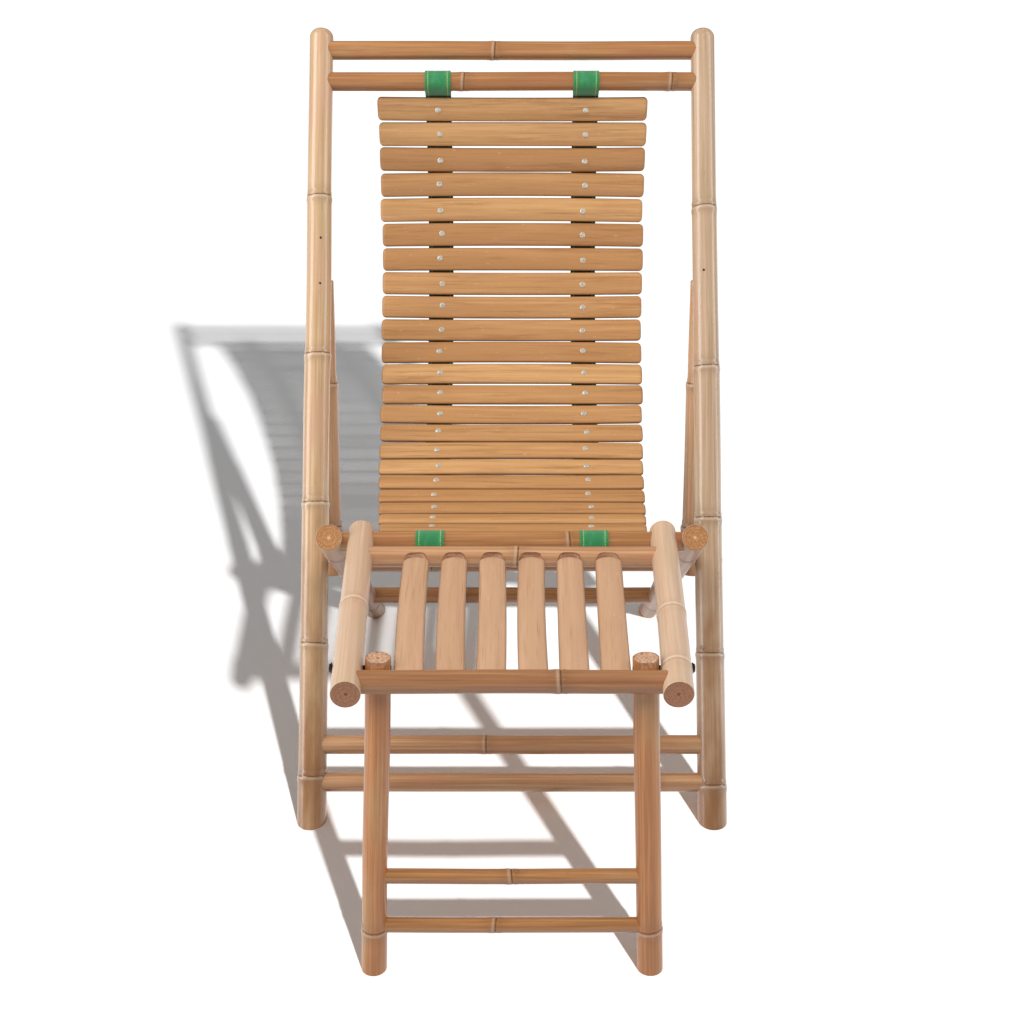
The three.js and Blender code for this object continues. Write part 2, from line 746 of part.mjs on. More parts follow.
// The front of a leg's top is coped round the bolt, so that it turns clear of the front rail.
function legCope() {
  const cope = new THREE.Shape();
  cope.absarc(0, 0, legRadius, Math.PI / 2, Math.PI, false);
  cope.lineTo(-overrun, 0);
  cope.lineTo(-overrun, overrun);
  cope.lineTo(0, overrun);
  cope.closePath();
  return cutterIn(legs, acrossSolid(cope, 2 * backHalfWidth));
}

const legCopeCut = legCope();

function addLeg(word, side, footrestSide) {
  const length = legReach + legTopReach + overrun;
  const geometry = culm(
    length,
    legRadius,
    legRadius,
    legJointShares.map((share) => (share * (legReach + legTopReach) + overrun) / length),
    poleSides,
  );
  geometry.translate(0, 0, -legReach - overrun);
  const leg = addPiece(legs, "footrest_leg_" + word, geometry, footrestBamboo, [
    side * legTopHalfWidth,
    0,
    0,
  ]);
  leg.rotation.y = -side * legSplay;
  const inner = legTopHalfWidth - legRadius;
  const outer = footrestHalfWidthAt(legBoltReach) + footrestSideRadius + fit;
  const shankMiddle = (side * (inner + outer)) / 2;
  const shank = rod(legBoltRadius, outer - inner, railSides).translate(0, 0, shankMiddle);
  const head = rod(legBoltHeadRadius, legBoltHeadHeight, railSides).translate(
    0,
    0,
    side * (outer + legBoltHeadHeight / 2),
  );
  const bolt = addPiece(legs, "footrest_leg_bolt_" + word, joined(shank, head), steel);
  bolt.rotation.y = Math.PI / 2;
  const hole = bore(legBoltRadius, outer - inner + overrun);
  const drill = cutterIn(legs, hole, [shankMiddle, 0, 0], Math.PI / 2);
  carve(leg, floor, ...rungs.map((made) => made.socket), legCopeCut, drill);
  carve(footrestSide, drill);
}

addLeg("left", -1, footrestSides[0]);
addLeg("right", 1, footrestSides[1]);

// The origin is on the floor, under the middle of the recliner's box.
recliner.updateMatrixWorld(true);
const box = new THREE.Box3().setFromObject(recliner, true);
const group = new THREE.Group();
recliner.position.y = -(box.min.y + box.max.y) / 2;
group.add(recliner);

export default group;
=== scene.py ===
import json
import math
import random
from collections import namedtuple

import bmesh
import bpy
import numpy as np
from mathutils import Matrix, Vector, noise


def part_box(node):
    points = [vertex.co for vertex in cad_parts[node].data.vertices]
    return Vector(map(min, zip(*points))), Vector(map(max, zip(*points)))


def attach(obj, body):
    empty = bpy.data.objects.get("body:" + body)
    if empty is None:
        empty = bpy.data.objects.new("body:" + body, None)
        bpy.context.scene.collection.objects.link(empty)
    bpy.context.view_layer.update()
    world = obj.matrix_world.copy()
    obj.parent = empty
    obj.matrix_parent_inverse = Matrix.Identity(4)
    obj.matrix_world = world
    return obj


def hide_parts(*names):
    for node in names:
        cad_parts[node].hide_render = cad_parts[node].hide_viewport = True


MM = 0.001

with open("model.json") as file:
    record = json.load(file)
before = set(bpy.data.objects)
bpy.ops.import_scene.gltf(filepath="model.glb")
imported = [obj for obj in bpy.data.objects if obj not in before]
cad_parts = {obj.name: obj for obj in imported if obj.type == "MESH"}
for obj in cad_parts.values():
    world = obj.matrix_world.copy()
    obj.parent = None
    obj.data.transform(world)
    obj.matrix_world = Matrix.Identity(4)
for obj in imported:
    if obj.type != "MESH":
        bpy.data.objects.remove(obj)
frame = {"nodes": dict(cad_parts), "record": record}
CAD_NODES = frame["nodes"]
BODIES = frame["record"]["behaviour"]["bodies"]
BODY_OF = {node: body for body, nodes in BODIES.items() for node in nodes}
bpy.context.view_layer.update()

# Poles: radii, and where their bamboo joints are, as shares of the length from the root.
BACK_FOOT_RADIUS = 19.1 * MM
BACK_TIP_RADIUS = 16.4 * MM
BACK_TIP_DOME = 14 * MM
BACK_JOINT_SHARES = {"left": (0.055, 0.216, 0.39, 0.577, 0.779), "right": (0.043, 0.204, 0.371, 0.561, 0.765)}
SEAT_FOOT_RADIUS = 15.4 * MM
SEAT_FRONT_RADIUS = 16.4 * MM
SEAT_JOINT_SHARES = (0.16, 0.39, 0.63, 0.87)
NOTCH_PITCH = 42 * MM
PROP_FOOT_RADIUS = 19 * MM
PROP_TOP_RADIUS = 15.5 * MM
PROP_JOINT_SHARES = (0.17, 0.665)
FORK_DEPTH = 8 * MM
FORK_GAP = 0.5 * MM
TONGUE_THICKNESS = 2.5 * MM
SIDE_RADIUS = 16.4 * MM
SIDE_JOINT_SHARES = {"left": (0.53,), "right": (0.57, 0.88)}
LEG_RADIUS = 14.2 * MM
LEG_FOOT_RADIUS = 14.7 * MM
LEG_JOINT_SHARES = (0.14,)

# Rails: the seed of the random draws, and the joints as shares from the left end.
RAIL_RADIUS = 12.5 * MM
RUNG_RADIUS = 8.6 * MM
RAILS = {
    "back_top_rail": (11, (0.455,)),
    "back_sling_rail": (12, (0.372, 0.93)),
    "back_foot_rail_upper": (13, (0.434,)),
    "back_foot_rail_lower": (14, (0.87,)),
    "seat_front_rail": (31, (0.665,)),
    "seat_rear_rail": (32, (0.34,)),
    "prop_rail": (51, (0.27,)),
    "footrest_rear_rail": (81, (0.52,)),
    "footrest_front_rail": (82, (0.655,)),
    "footrest_rung_upper": (91, (0.5,)),
    "footrest_rung_lower": (92, (0.44,)),
}

# The seeds of the other random draws, from which the pieces of a kind count on.
POLE_SEEDS = {"back_pole": 20, "seat_pole": 40, "prop_pole": 60, "footrest_side": 70, "footrest_leg": 95}
SLING_SLAT_SEED = 100
FOOTREST_SLAT_SEED = 200

# How a culm is drawn.
CULM_SIDES = 40
RING_STEP = 12 * MM
JOINT_RING_STEP = 0.8 * MM
JOINT_REACH = 12 * MM
JOINT_SWELL = 0.6 * MM
SWELL_BELOW = 3.5 * MM
SWELL_REACH = 5 * MM
JOINT_RIDGE = 0.3 * MM
RIDGE_ABOVE = 4 * MM
RIDGE_REACH = 2 * MM
JOINT_GROOVE = 0.35 * MM
GROOVE_REACH = 0.9 * MM
JOINT_SLANT = 0.9 * MM
JOINT_TAPER = 2.5 * MM
LINE_RAGGED = 1.4 * MM
LINE_CORE = 0.45 * MM
LINE_EDGE = 1.15 * MM
STAIN_NEAR = 2 * MM
STAIN_FAR = 22 * MM
# Where the pale band under each joint lies: partly waxy bloom, partly painted highlight.
PALE_BAND_BELOW = 3 * MM
PALE_BAND_REACH = 1.6 * MM
ROOT_DARKENING_LOW = 0.36
ROOT_DARKENING_HIGH = 0.9
BUD_ABOVE = 5 * MM
BUD_RADIUS = 2.6 * MM
BUD_RIM = 0.7 * MM
BUD_RISE = 0.7 * MM
OVALITY = 0.012
WANDER = 1.4 * MM
WANDER_RATE = 4
WANDER_SEED_STEP = 7.3
SIDEWAYS_WANDER = Vector((0, 0, 5))
TONE_SPREAD = 0.15
CULM_GRAIN_STEP = 3.1
RUN_PAST = 30 * MM
CUTTER_REACH = 400 * MM

# Sawn ends.
END_DEPTH = 2 * MM
END_BEVEL = 0.8 * MM
END_RING_SHARES = (0.9, 0.72, 0.5, 0.25, 0.08)
CUT_ROUGHNESS = 0.35 * MM
TORN_ROUGHNESS = 2.4 * MM
CUT_GRAIN = 2.4 * MM
DOME_STEPS = 9
DOME_FULLNESS = 0.8
SKIN_FACING_SHARE = 0.55
SKIN_RADIUS_SHARE = 0.85

# Slats.
SLAT_COUNT = 22
SLAT_GAP = 4 * MM
SLAT_STEP = 14 * MM
SLAT_CORNER = 6 * MM
CORNER_STEPS = 7
SECTION_STEPS = 10
SLAT_EDGE_SHARE = 0.63
SLAT_EDGE_ROUNDING = 1.1 * MM
EDGE_DROP_SHARE = 0.8
END_SOFTENING_SHARE = 0.25
SLAT_WARP = 0.9 * MM
LIFT_SHARE = 0.5
SLAT_SLIDE = 1.4 * MM
SLAT_SPREAD = 0.35 * MM
STRIP_GRAIN_STEP = 2.7
RIM_REACH = 1.6 * MM
DARK_SLATS = (3, 6, 11, 20)
DARK_TONE = -0.5
PALE_SLATS = (1, 2, 5, 12, 16, 17)
PALE_TONE = 0.3
FOOTREST_SLAT_COUNT = 6
FOOTREST_CORNER = 11 * MM
POCKET_STEPS = 8
HOOK_STEPS = 16
HOOK_DEPTH = 60 * MM
COPE_STEPS = 12
COPE_REACH = 60 * MM

# Straps: the section is in shares of half the width and of the thickness.
STRAPS = ("strap_left", "strap_right")
STRAP_WIDTH = 35 * MM
STRAP_THICKNESS = 1.8 * MM
STRAP_GAP = 0.3 * MM
STRAP_OVERLAP = 1 * MM
STRAP_STEP = 4 * MM
LOOP_STEPS = 28
TAPE_EDGE = [(-1, 0.5), (-0.96, 1), (-0.86, 1), (-0.5, 0.82)]
TAPE_SECTION = TAPE_EDGE + [(0, 0.82)] + [(-share, thick) for share, thick in TAPE_EDGE[::-1]]
WEAVE_FACE_GAP = 10 * MM

# Small hardware.
HEAD_SIDES = 20
HEAD_STEPS = 7
HEAD_SUNK = 1 * MM
HEAD_FOOT_SHARE = 0.9
RIVET_RADIUS = 4.1 * MM
RIVET_HEIGHT = 1.5 * MM
RIVET_STRAY = 2 * MM
NAIL_RADIUS = 1.5 * MM
NAIL_HEIGHT = 0.6 * MM
NAIL_DEPTH = 17 * MM
NAIL_FRONT_SHARE = 0.97
NAIL_INWARD_SHARE = 0.25
NAIL_STEPS = {"left": (-20 * MM, 42 * MM), "right": (-2 * MM,)}
BOLT_SIDES = 24
BOLT_STEPS = 6
BOLT_RADIUS = 6 * MM
BOLT_SHANK_RADIUS = 3 * MM
BOLT_HEAD_RADIUS = 4.8 * MM
WASHER_FOOT_SHARE = 0.98
WASHER_THICKNESS = 0.9 * MM
BOLT_RIM = 2.2 * MM
BOLT_CROWN = 1.2 * MM
HARDWARE_BEVEL = 0.3 * MM

# Angles past which an edge is drawn sharp, in degrees.
CULM_SHARP = 38
BOLT_SHARP = 40
STRIP_SHARP = 50
HEAD_SHARP = 60

# The patterns of the surfaces: cells per metre along each axis of the piece, detail and roughness.
# A culm's own axes are two across it and one along it, and a flat strip's first one runs along it.
PATTERNS = {
    "fibre": ((1400, 1400, 16), 4, 0.6),
    "streak": ((300, 300, 5), 3, 0.55),
    "cloud": ((34, 34, 9), 3, 0.55),
    "moss": ((27, 27, 6), 3, 0.55),
    "ragged": ((420, 420, 60), 2, 0.55),
    "fleck": ((520, 520, 260), 2, 0.7),
    "blemish": ((130, 130, 60), 4, 0.7),
    "pores": ((1500, 1500, 400), 2, 0.55),
    "cut_cloud": ((420, 420, 60), 4, 0.55),
    "strip_fibre": ((14, 1300, 1300), 4, 0.6),
    "strip_streak": ((5, 170, 60), 3, 0.55),
    "strip_cloud": ((11, 40, 20), 2, 0.55),
    "thread": ((9, 900, 300), 2, 0.7),
    "band": ((7, 120, 60), 5, 0.7),
    "scuff": ((90, 260, 200), 5, 0.75),
    "wear": ((120, 60, 100), 3, 0.55),
    "grime": ((700, 700, 700), 4, 0.55),
}
GROWTH_RATE = 21

# The webbing's threads, in radians per metre, and the stitched line near each edge.
RIB_RATE = 4400
PICK_RATE = 3600
DASH_RATE = 2300
SEAM_PLACE = 13.2 * MM
SEAM_CORE = 0.4 * MM
SEAM_EDGE = 0.8 * MM

# How deep each surface's fine relief is.
BAMBOO_RELIEF = 0.3 * MM
CUT_RELIEF = 0.4 * MM
CLOTH_RELIEF = 0.4 * MM
METAL_RELIEF = 0.2 * MM

# The camera in the photograph's place, and the light.
CAMERA_PLACE = (0, -1.7487, 1.176)
CAMERA_PITCH = 24.6
CAMERA_LENS = 52.73
CAMERA_SENSOR = 36
SUN_FROM = (0.6, -1.6, 0.92)
SUN_STRENGTH = 3.3
SUN_SPREAD = 1.7
AMBIENT_STRENGTH = 0.19
FLOOR_GREY = 0.9
PAPER_WHITE = 1.62
FLOOR_HALF_SIZE = 30

# The soft boxes: the place, the point aimed at, the width and height, and the power.
SOFT_BOXES = {
    "top_box": ((-0.1, -2.4, 4.2), (0, 0.1, 0.6), (3.2, 2), 150),
    "left_box": ((-2.1, -0.4, 1.5), (0, 0, 0.6), (0.9, 3.4), 44),
    "right_box": ((2.1, 0.05, 1.5), (0, 0, 0.6), (0.5, 3.4), 20),
}

SIDES = {"left": -1, "right": 1}
ACROSS = Vector((1, 0, 0))
SITTER_SIDE = Vector((0, -0.5, 0.85))


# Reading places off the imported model.
def middle(node):
    low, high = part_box(node)
    return (low + high) / 2


def corners(node):
    return [vertex.co.copy() for vertex in CAD_NODES[node].data.vertices]


def span(node, origin, direction):
    reaches = [(corner - origin).dot(direction) for corner in corners(node)]
    return min(reaches), max(reaches)


def end_middle(node, direction):
    """The middle of the flat end of a node that lies furthest along the direction."""
    points = corners(node)
    furthest = max(point.dot(direction) for point in points)
    ring = [point for point in points if point.dot(direction) > furthest - END_DEPTH]
    return Vector([(min(axis) + max(axis)) / 2 for axis in zip(*ring)])


def on_pole(node, rail):
    """The point of a pole's axis where a rail crosses it."""
    place = middle(rail)
    return Vector((middle(node).x, place.y, place.z))


def full_turn(sides):
    return [math.tau * side / sides for side in range(sides)]


def quarter_turn(steps):
    return [math.pi / 2 * step / steps for step in range(steps + 1)]


# Shader building.
def feed(tree, value, socket):
    """Links another node's output to a socket, or sets the socket to a plain value."""
    if isinstance(value, Field):
        value = value.socket
    if isinstance(value, bpy.types.NodeSocket):
        tree.links.new(value, socket)
    else:
        socket.default_value = value


def add(tree, kind, inputs=None, **settings):
    made = tree.nodes.new("ShaderNode" + kind)
    for key, value in settings.items():
        setattr(made, key, value)
    for key, value in (inputs or {}).items():
        feed(tree, value, made.inputs[key])
    return made


def colour(red, green, blue):
    """A colour from its 0 to 255 screen values."""
    linear = []
    for value in (red, green, blue):
        share = value / 255
        linear.append(share / 12.92 if share < 0.04045 else ((share + 0.055) / 1.055) ** 2.4)
    return (*linear, 1)


class Field:
    """A number that varies over a surface, for sums with plain signs."""

    def __init__(self, tree, socket):
        self.tree = tree
        self.socket = socket

    def maths(self, operation, other=0):
        made = add(self.tree, "Math", {0: self, 1: other}, operation=operation)
        return Field(self.tree, made.outputs[0])

    def __add__(self, other):
        return self.maths("ADD", other)

    def __sub__(self, other):
        return self.maths("SUBTRACT", other)

    def __mul__(self, other):
        return self.maths("MULTIPLY", other)

    def __abs__(self):
        return self.maths("ABSOLUTE")

    def wave(self, rate):
        return (self * rate).maths("SINE")

    def ramp(self, low, high, to_low=0, to_high=1):
        facts = {"Value": self, "From Min": low, "From Max": high, "To Min": to_low, "To Max": to_high}
        made = add(self.tree, "MapRange", facts, interpolation_type="SMOOTHSTEP")
        return Field(self.tree, made.outputs[0])


class Look:
    """A material, with short ways to build up its colour."""

    def __init__(self, name, place="local"):
        self.material = bpy.data.materials.new(name)
        self.material.use_nodes = True
        self.tree = self.material.node_tree
        self.shader = self.tree.nodes["Principled BSDF"]
        self.place = self.attribute(place, "Vector")

    def attribute(self, name, output="Fac"):
        return Field(self.tree, add(self.tree, "Attribute", attribute_name=name).outputs[output])

    def noise(self, pattern):
        grain, detail, roughness = PATTERNS[pattern]
        mapped = add(self.tree, "Mapping", {"Vector": self.place, "Scale": grain}).outputs[0]
        facts = {"Vector": mapped, "Scale": 1, "Detail": detail, "Roughness": roughness}
        return Field(self.tree, add(self.tree, "TexNoise", facts).outputs["Fac"])

    def ground(self, share, deep, pale):
        """The colour that the stains lie on."""
        self.face = colour(*deep)
        self.stain(share, colour(*pale))

    def stain(self, share, tint):
        """Lays a colour over what is there."""
        inputs = {0: share, 6: self.face, 7: tint}
        self.face = add(self.tree, "Mix", inputs, data_type="RGBA").outputs[2]

    def mottle(self, pattern, low, high, share, tint):
        """Lays a colour where a pattern is strong."""
        self.stain(pattern.ramp(low, high, 0, share), tint)

    def coat(self, weight, roughness):
        self.shader.inputs["Coat Weight"].default_value = weight
        self.shader.inputs["Coat Roughness"].default_value = roughness

    def finish(self, roughness, height, strength, depth):
        """Links the colour, the roughness and the relief to the shader."""
        bump = add(self.tree, "Bump", {"Strength": strength, "Distance": depth, "Height": height})
        feed(self.tree, self.face, self.shader.inputs["Base Color"])
        feed(self.tree, roughness, self.shader.inputs["Roughness"])
        feed(self.tree, bump.outputs[0], self.shader.inputs["Normal"])
        return self.material


# The colours of the marks on bamboo and webbing. The pale joint band is partly painted highlight, and the
# strips' dark edges are partly painted shade.
RING_BROWN = colour(96, 62, 38)
PALE_BROWN = colour(176, 136, 106)
MOSS_GREEN = colour(190, 172, 126)
ROOT_END_BROWN = colour(146, 100, 62)
WAX_AND_HIGHLIGHT_WHITE = colour(240, 222, 198)
PORE_BROWN = colour(112, 70, 44)
GROWTH_BROWN = colour(138, 88, 52)
RIM_BROWN = colour(104, 66, 42)
THREAD_BROWN = colour(126, 84, 46)
BAND_BROWN = colour(146, 98, 56)
SCUFF_CREAM = colour(236, 206, 166)
EDGE_BROWN_AND_SHADE = colour(106, 68, 38)
STITCH_YELLOW = colour(196, 206, 120)


def bamboo_skin(
    name, pale, deep, blush, coat, root_darkening_share=0.0, ring=RING_BROWN, line_share=0.85, pale_band_share=0.25
):
    """The outside of a culm: fibres along it, clouds of colour, and a thin line at each joint."""
    look = Look(name)
    fibre = look.noise("fibre")
    streak = look.noise("streak")
    cloud = look.noise("cloud")
    shade = fibre * 0.35 + streak * 0.85 + look.attribute("tone") * 0.35
    look.ground(shade.ramp(0.4, 0.95), deep, pale)
    look.mottle(cloud, 0.5, 0.72, 0.6, colour(*blush))
    look.mottle(look.noise("moss"), 0.55, 0.75, 0.35, MOSS_GREEN)
    # Darker and browner towards the root end, unevenly.
    from_foot = look.attribute("grown") + cloud
    look.stain(from_foot.ramp(ROOT_DARKENING_LOW, ROOT_DARKENING_HIGH, root_darkening_share, 0), ROOT_END_BROWN)

    # The joint: a thin line, a pale band under it that is partly waxy bloom and partly painted highlight, and
    # a stain that fades along the culm.
    drift = (look.noise("ragged") - 0.5) * LINE_RAGGED
    away = abs(look.attribute("joint") + drift)
    look.stain(away.ramp(STAIN_NEAR, STAIN_FAR, 0.35, 0) * streak, ring)
    look.stain(look.attribute("pale_band") * pale_band_share, WAX_AND_HIGHLIGHT_WHITE)
    look.stain(away.ramp(LINE_CORE, LINE_EDGE, line_share, 0), ring)

    # The scar of the bud above each joint, small dark flecks, and larger blemishes.
    scar = abs(look.attribute("bud") + drift - BUD_RADIUS)
    look.stain(scar.ramp(0, BUD_RIM, 0.75, 0), ring)
    look.mottle(look.noise("fleck"), 0.7, 0.77, 0.6, ring)
    blemish = look.noise("blemish")
    look.mottle(blemish, 0.66, 0.74, 0.35, ring)
    look.coat(coat, 0.2)
    return look.finish(streak.ramp(0.3, 0.7, 0.3, 0.46), fibre + blemish * 0.8, 0.35, BAMBOO_RELIEF)


def bamboo_cut(name, pale, deep, heart, growth_share):
    """Sawn bamboo: fine pores, growth rings, a darker rim, and a mark in the middle."""
    look = Look(name)
    rim = look.attribute("rim")
    pores = look.noise("pores")
    cloud = look.noise("cut_cloud")
    uneven_rim = rim + (cloud - 0.5) * 0.25
    look.ground(cloud.ramp(0.3, 0.7), deep, pale)
    look.stain(pores.ramp(0.52, 0.66) * rim.ramp(0, 1, 0.1, 0.45), PORE_BROWN)
    look.mottle(uneven_rim.wave(GROWTH_RATE), 0.3, 1, growth_share, GROWTH_BROWN)
    look.mottle(rim, 0.86, 0.97, 0.6, RIM_BROWN)
    look.mottle(uneven_rim, 0.15, 0.08, 0.75, colour(*heart))
    return look.finish(0.72, pores, 0.6, CUT_RELIEF)


def split_bamboo(name, pale, deep, blush, band_share):
    """The flat strips: long fibres, bands of colour, dark threads, pale scuffs, and darker edges that are
    partly their own colour and partly painted shade.
    """
    look = Look(name)
    fibre = look.noise("strip_fibre")
    streak = look.noise("strip_streak")
    shade = fibre * 0.4 + streak * 0.6 + look.attribute("tone") * 0.6
    look.ground(shade.ramp(0.4, 1.15), deep, pale)
    look.mottle(look.noise("strip_cloud"), 0.52, 0.76, 0.55, colour(*blush))
    look.mottle(look.noise("thread"), 0.58, 0.74, 0.6, THREAD_BROWN)
    look.mottle(look.noise("band"), 0.5, 0.7, band_share, BAND_BROWN)
    look.mottle(look.noise("scuff"), 0.62, 0.72, 0.45, SCUFF_CREAM)
    # Darker near the edges and ends: partly the strip's own colour, partly painted shade between the slats.
    look.stain(look.attribute("rim") * 0.68, EDGE_BROWN_AND_SHADE)
    look.coat(0.12, 0.3)
    return look.finish(streak.ramp(0.3, 0.7, 0.4, 0.55), fibre, 0.4, BAMBOO_RELIEF)


def woven_webbing(name, thread, gap, worn):
    """Green tape: a fine weave, worn places, and a pale stitched line near each edge."""
    look = Look(name, "weave")
    parts = add(look.tree, "SeparateXYZ", {0: look.place}).outputs
    across = Field(look.tree, parts["X"])
    along = Field(look.tree, parts["Y"])
    cloth = across.wave(RIB_RATE) * along.wave(PICK_RATE)
    look.ground(cloth.ramp(-0.8, 0.9), gap, thread)
    look.mottle(look.noise("wear"), 0.45, 0.75, 0.35, colour(*worn))
    dash = along.wave(DASH_RATE).ramp(-0.7, -0.2)
    seam = abs(abs(across) - SEAM_PLACE).ramp(SEAM_EDGE, SEAM_CORE) * dash
    look.stain(seam * 0.8, STITCH_YELLOW)
    look.shader.inputs["Sheen Weight"].default_value = 0.3
    return look.finish(0.78, cloth, 0.7, CLOTH_RELIEF)


def worn_metal(name, pale, deep, roughness, metallic=1.0):
    look = Look(name)
    look.place = add(look.tree, "TexCoord").outputs["Object"]
    grime = look.noise("grime")
    look.ground(grime.ramp(0.35, 0.7), deep, pale)
    look.shader.inputs["Metallic"].default_value = metallic
    return look.finish(grime.ramp(0.3, 0.7, roughness, roughness + 0.2), grime, 0.2, METAL_RELIEF)


POLE_SKINS = {
    "left": bamboo_skin("pole_skin_left", (224, 193, 154), (188, 150, 111), (202, 158, 128), 0.9, 0.95),
    "right": bamboo_skin("pole_skin_right", (206, 177, 147), (172, 141, 110), (194, 155, 132), 0.9, 0.95),
}
PROP_SKIN = bamboo_skin("prop_skin", (230, 186, 138), (186, 137, 94), (202, 151, 116), 0.5, 0.7)
RAIL_SKIN = bamboo_skin("rail_skin", (200, 145, 94), (154, 104, 62), (168, 110, 72), 0.35)
SEAT_SKIN = bamboo_skin("seat_skin", (206, 170, 146), (172, 134, 110), (188, 144, 122), 0.03, 0.95)
SIDE_TINTS = ((222, 193, 165), (201, 167, 138), (214, 170, 146))
# Here the pale band under each joint is stronger: partly waxy bloom, partly painted highlight.
SIDE_SKIN = bamboo_skin("side_skin", *SIDE_TINTS, 0.05, ring=PALE_BROWN, line_share=0.5, pale_band_share=0.5)
FRONT_RAIL_SKIN = bamboo_skin("front_rail_skin", (186, 136, 94), (143, 96, 62), (159, 108, 77), 0.2)
# A paler copy of the rail skin. On the back's foot rails, which lie in the sling's shade, it is painted
# light. The footrest's rear rail shares it.
PALE_RAIL_SKIN_WITH_PAINTED_LIGHT = bamboo_skin("pale_rail_skin_with_painted_light", (214, 168, 126), (170, 121, 84), (186, 133, 98), 0.2)
LEG_SKIN = bamboo_skin("leg_skin", (216, 150, 90), (168, 106, 58), (190, 126, 78), 0.4, 0.35)
POLE_CUT = bamboo_cut("pole_cut", (194, 142, 94), (160, 110, 68), (222, 186, 138), 0.32)
SIDE_CUT = bamboo_cut("side_cut", (182, 132, 103), (156, 108, 81), (92, 58, 44), 0.22)
# Pale torn fibre on the leg tops. The same pale colour on the walls of the footrest rail's slat pockets is
# painted light where those walls lie in shade.
TORN_CUT_AND_POCKET_PAINTED_LIGHT = bamboo_cut("torn_cut_and_pocket_painted_light", (222, 182, 150), (172, 126, 96), (96, 60, 42), 0.08)
SLING_STRIP = split_bamboo("sling_strip", (232, 184, 126), (184, 134, 86), (194, 142, 98), 0.55)
FOOTREST_STRIP = split_bamboo("footrest_strip", (224, 188, 153), (196, 155, 122), (208, 163, 134), 0.15)
LOOP_WEBBING = woven_webbing("loop_webbing", (58, 160, 96), (24, 112, 62), (96, 172, 118))
# A darker copy of the loop webbing for the lengths between the slats: painted shade.
SLING_WEBBING_PAINTED_SHADE = woven_webbing("sling_webbing_painted_shade", (52, 92, 48), (30, 52, 26), (84, 92, 50))
ZINC = worn_metal("zinc", (206, 206, 208), (150, 150, 152), 0.3)
RIVET_METAL = worn_metal("rivet_metal", (240, 238, 226), (190, 184, 168), 0.25, 0.45)
DARK_STEEL = worn_metal("dark_steel", (96, 92, 90), (44, 42, 42), 0.4)


# Putting meshes into the scene.
def smooth(mesh, sharp_angle):
    mesh.shade_smooth()
    mesh.set_sharp_from_angle(angle=math.radians(sharp_angle))


def placed(name, data):
    """An object in the scene, made of the data."""
    made = bpy.data.objects.new(name, data)
    bpy.context.scene.collection.objects.link(made)
    return made


def finish_mesh(name, mesh, materials, sharp_angle):
    for material in materials:
        mesh.materials.append(material)
    smooth(mesh, sharp_angle)
    return placed(name, mesh)


def mesh_of(name, vertices, faces):
    mesh = bpy.data.meshes.new(name)
    mesh.from_pydata([tuple(vertex) for vertex in vertices], [], faces)
    mesh.validate()
    mesh.update()
    return mesh


def set_attribute(mesh, name, values):
    """Gives each point of a mesh its own number, or its own three."""
    if isinstance(values[0], tuple):
        made = mesh.attributes.new(name, "FLOAT_VECTOR", "POINT")
        made.data.foreach_set("vector", [number for value in values for number in value])
    else:
        made = mesh.attributes.new(name, "FLOAT", "POINT")
        made.data.foreach_set("value", values)


def stands_for(piece, node):
    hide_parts(node)
    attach(piece, BODY_OF[node])


def loft(rings):
    """Points and faces that join rings of the same number of points, with a fan on each end."""
    sides = len(rings[0])
    vertices = [point for ring in rings for point in ring]
    last = len(vertices) - sides
    faces = []
    for low in range(0, last, sides):
        high = low + sides
        for side in range(sides):
            after = (side + 1) % sides
            faces.append((low + side, low + after, high + after, high + side))
    first_hub = len(vertices)
    last_hub = first_hub + 1
    vertices += [sum(rings[0], Vector()) / sides, sum(rings[-1], Vector()) / sides]
    faces += [((side + 1) % sides, side, first_hub) for side in range(sides)]
    faces += [(last + side, last + (side + 1) % sides, last_hub) for side in range(sides)]
    return vertices, faces


# Culms.
def bell(distance, reach):
    """One at no distance, and next to nothing beyond twice the reach."""
    return math.exp(-((distance / reach) ** 2))


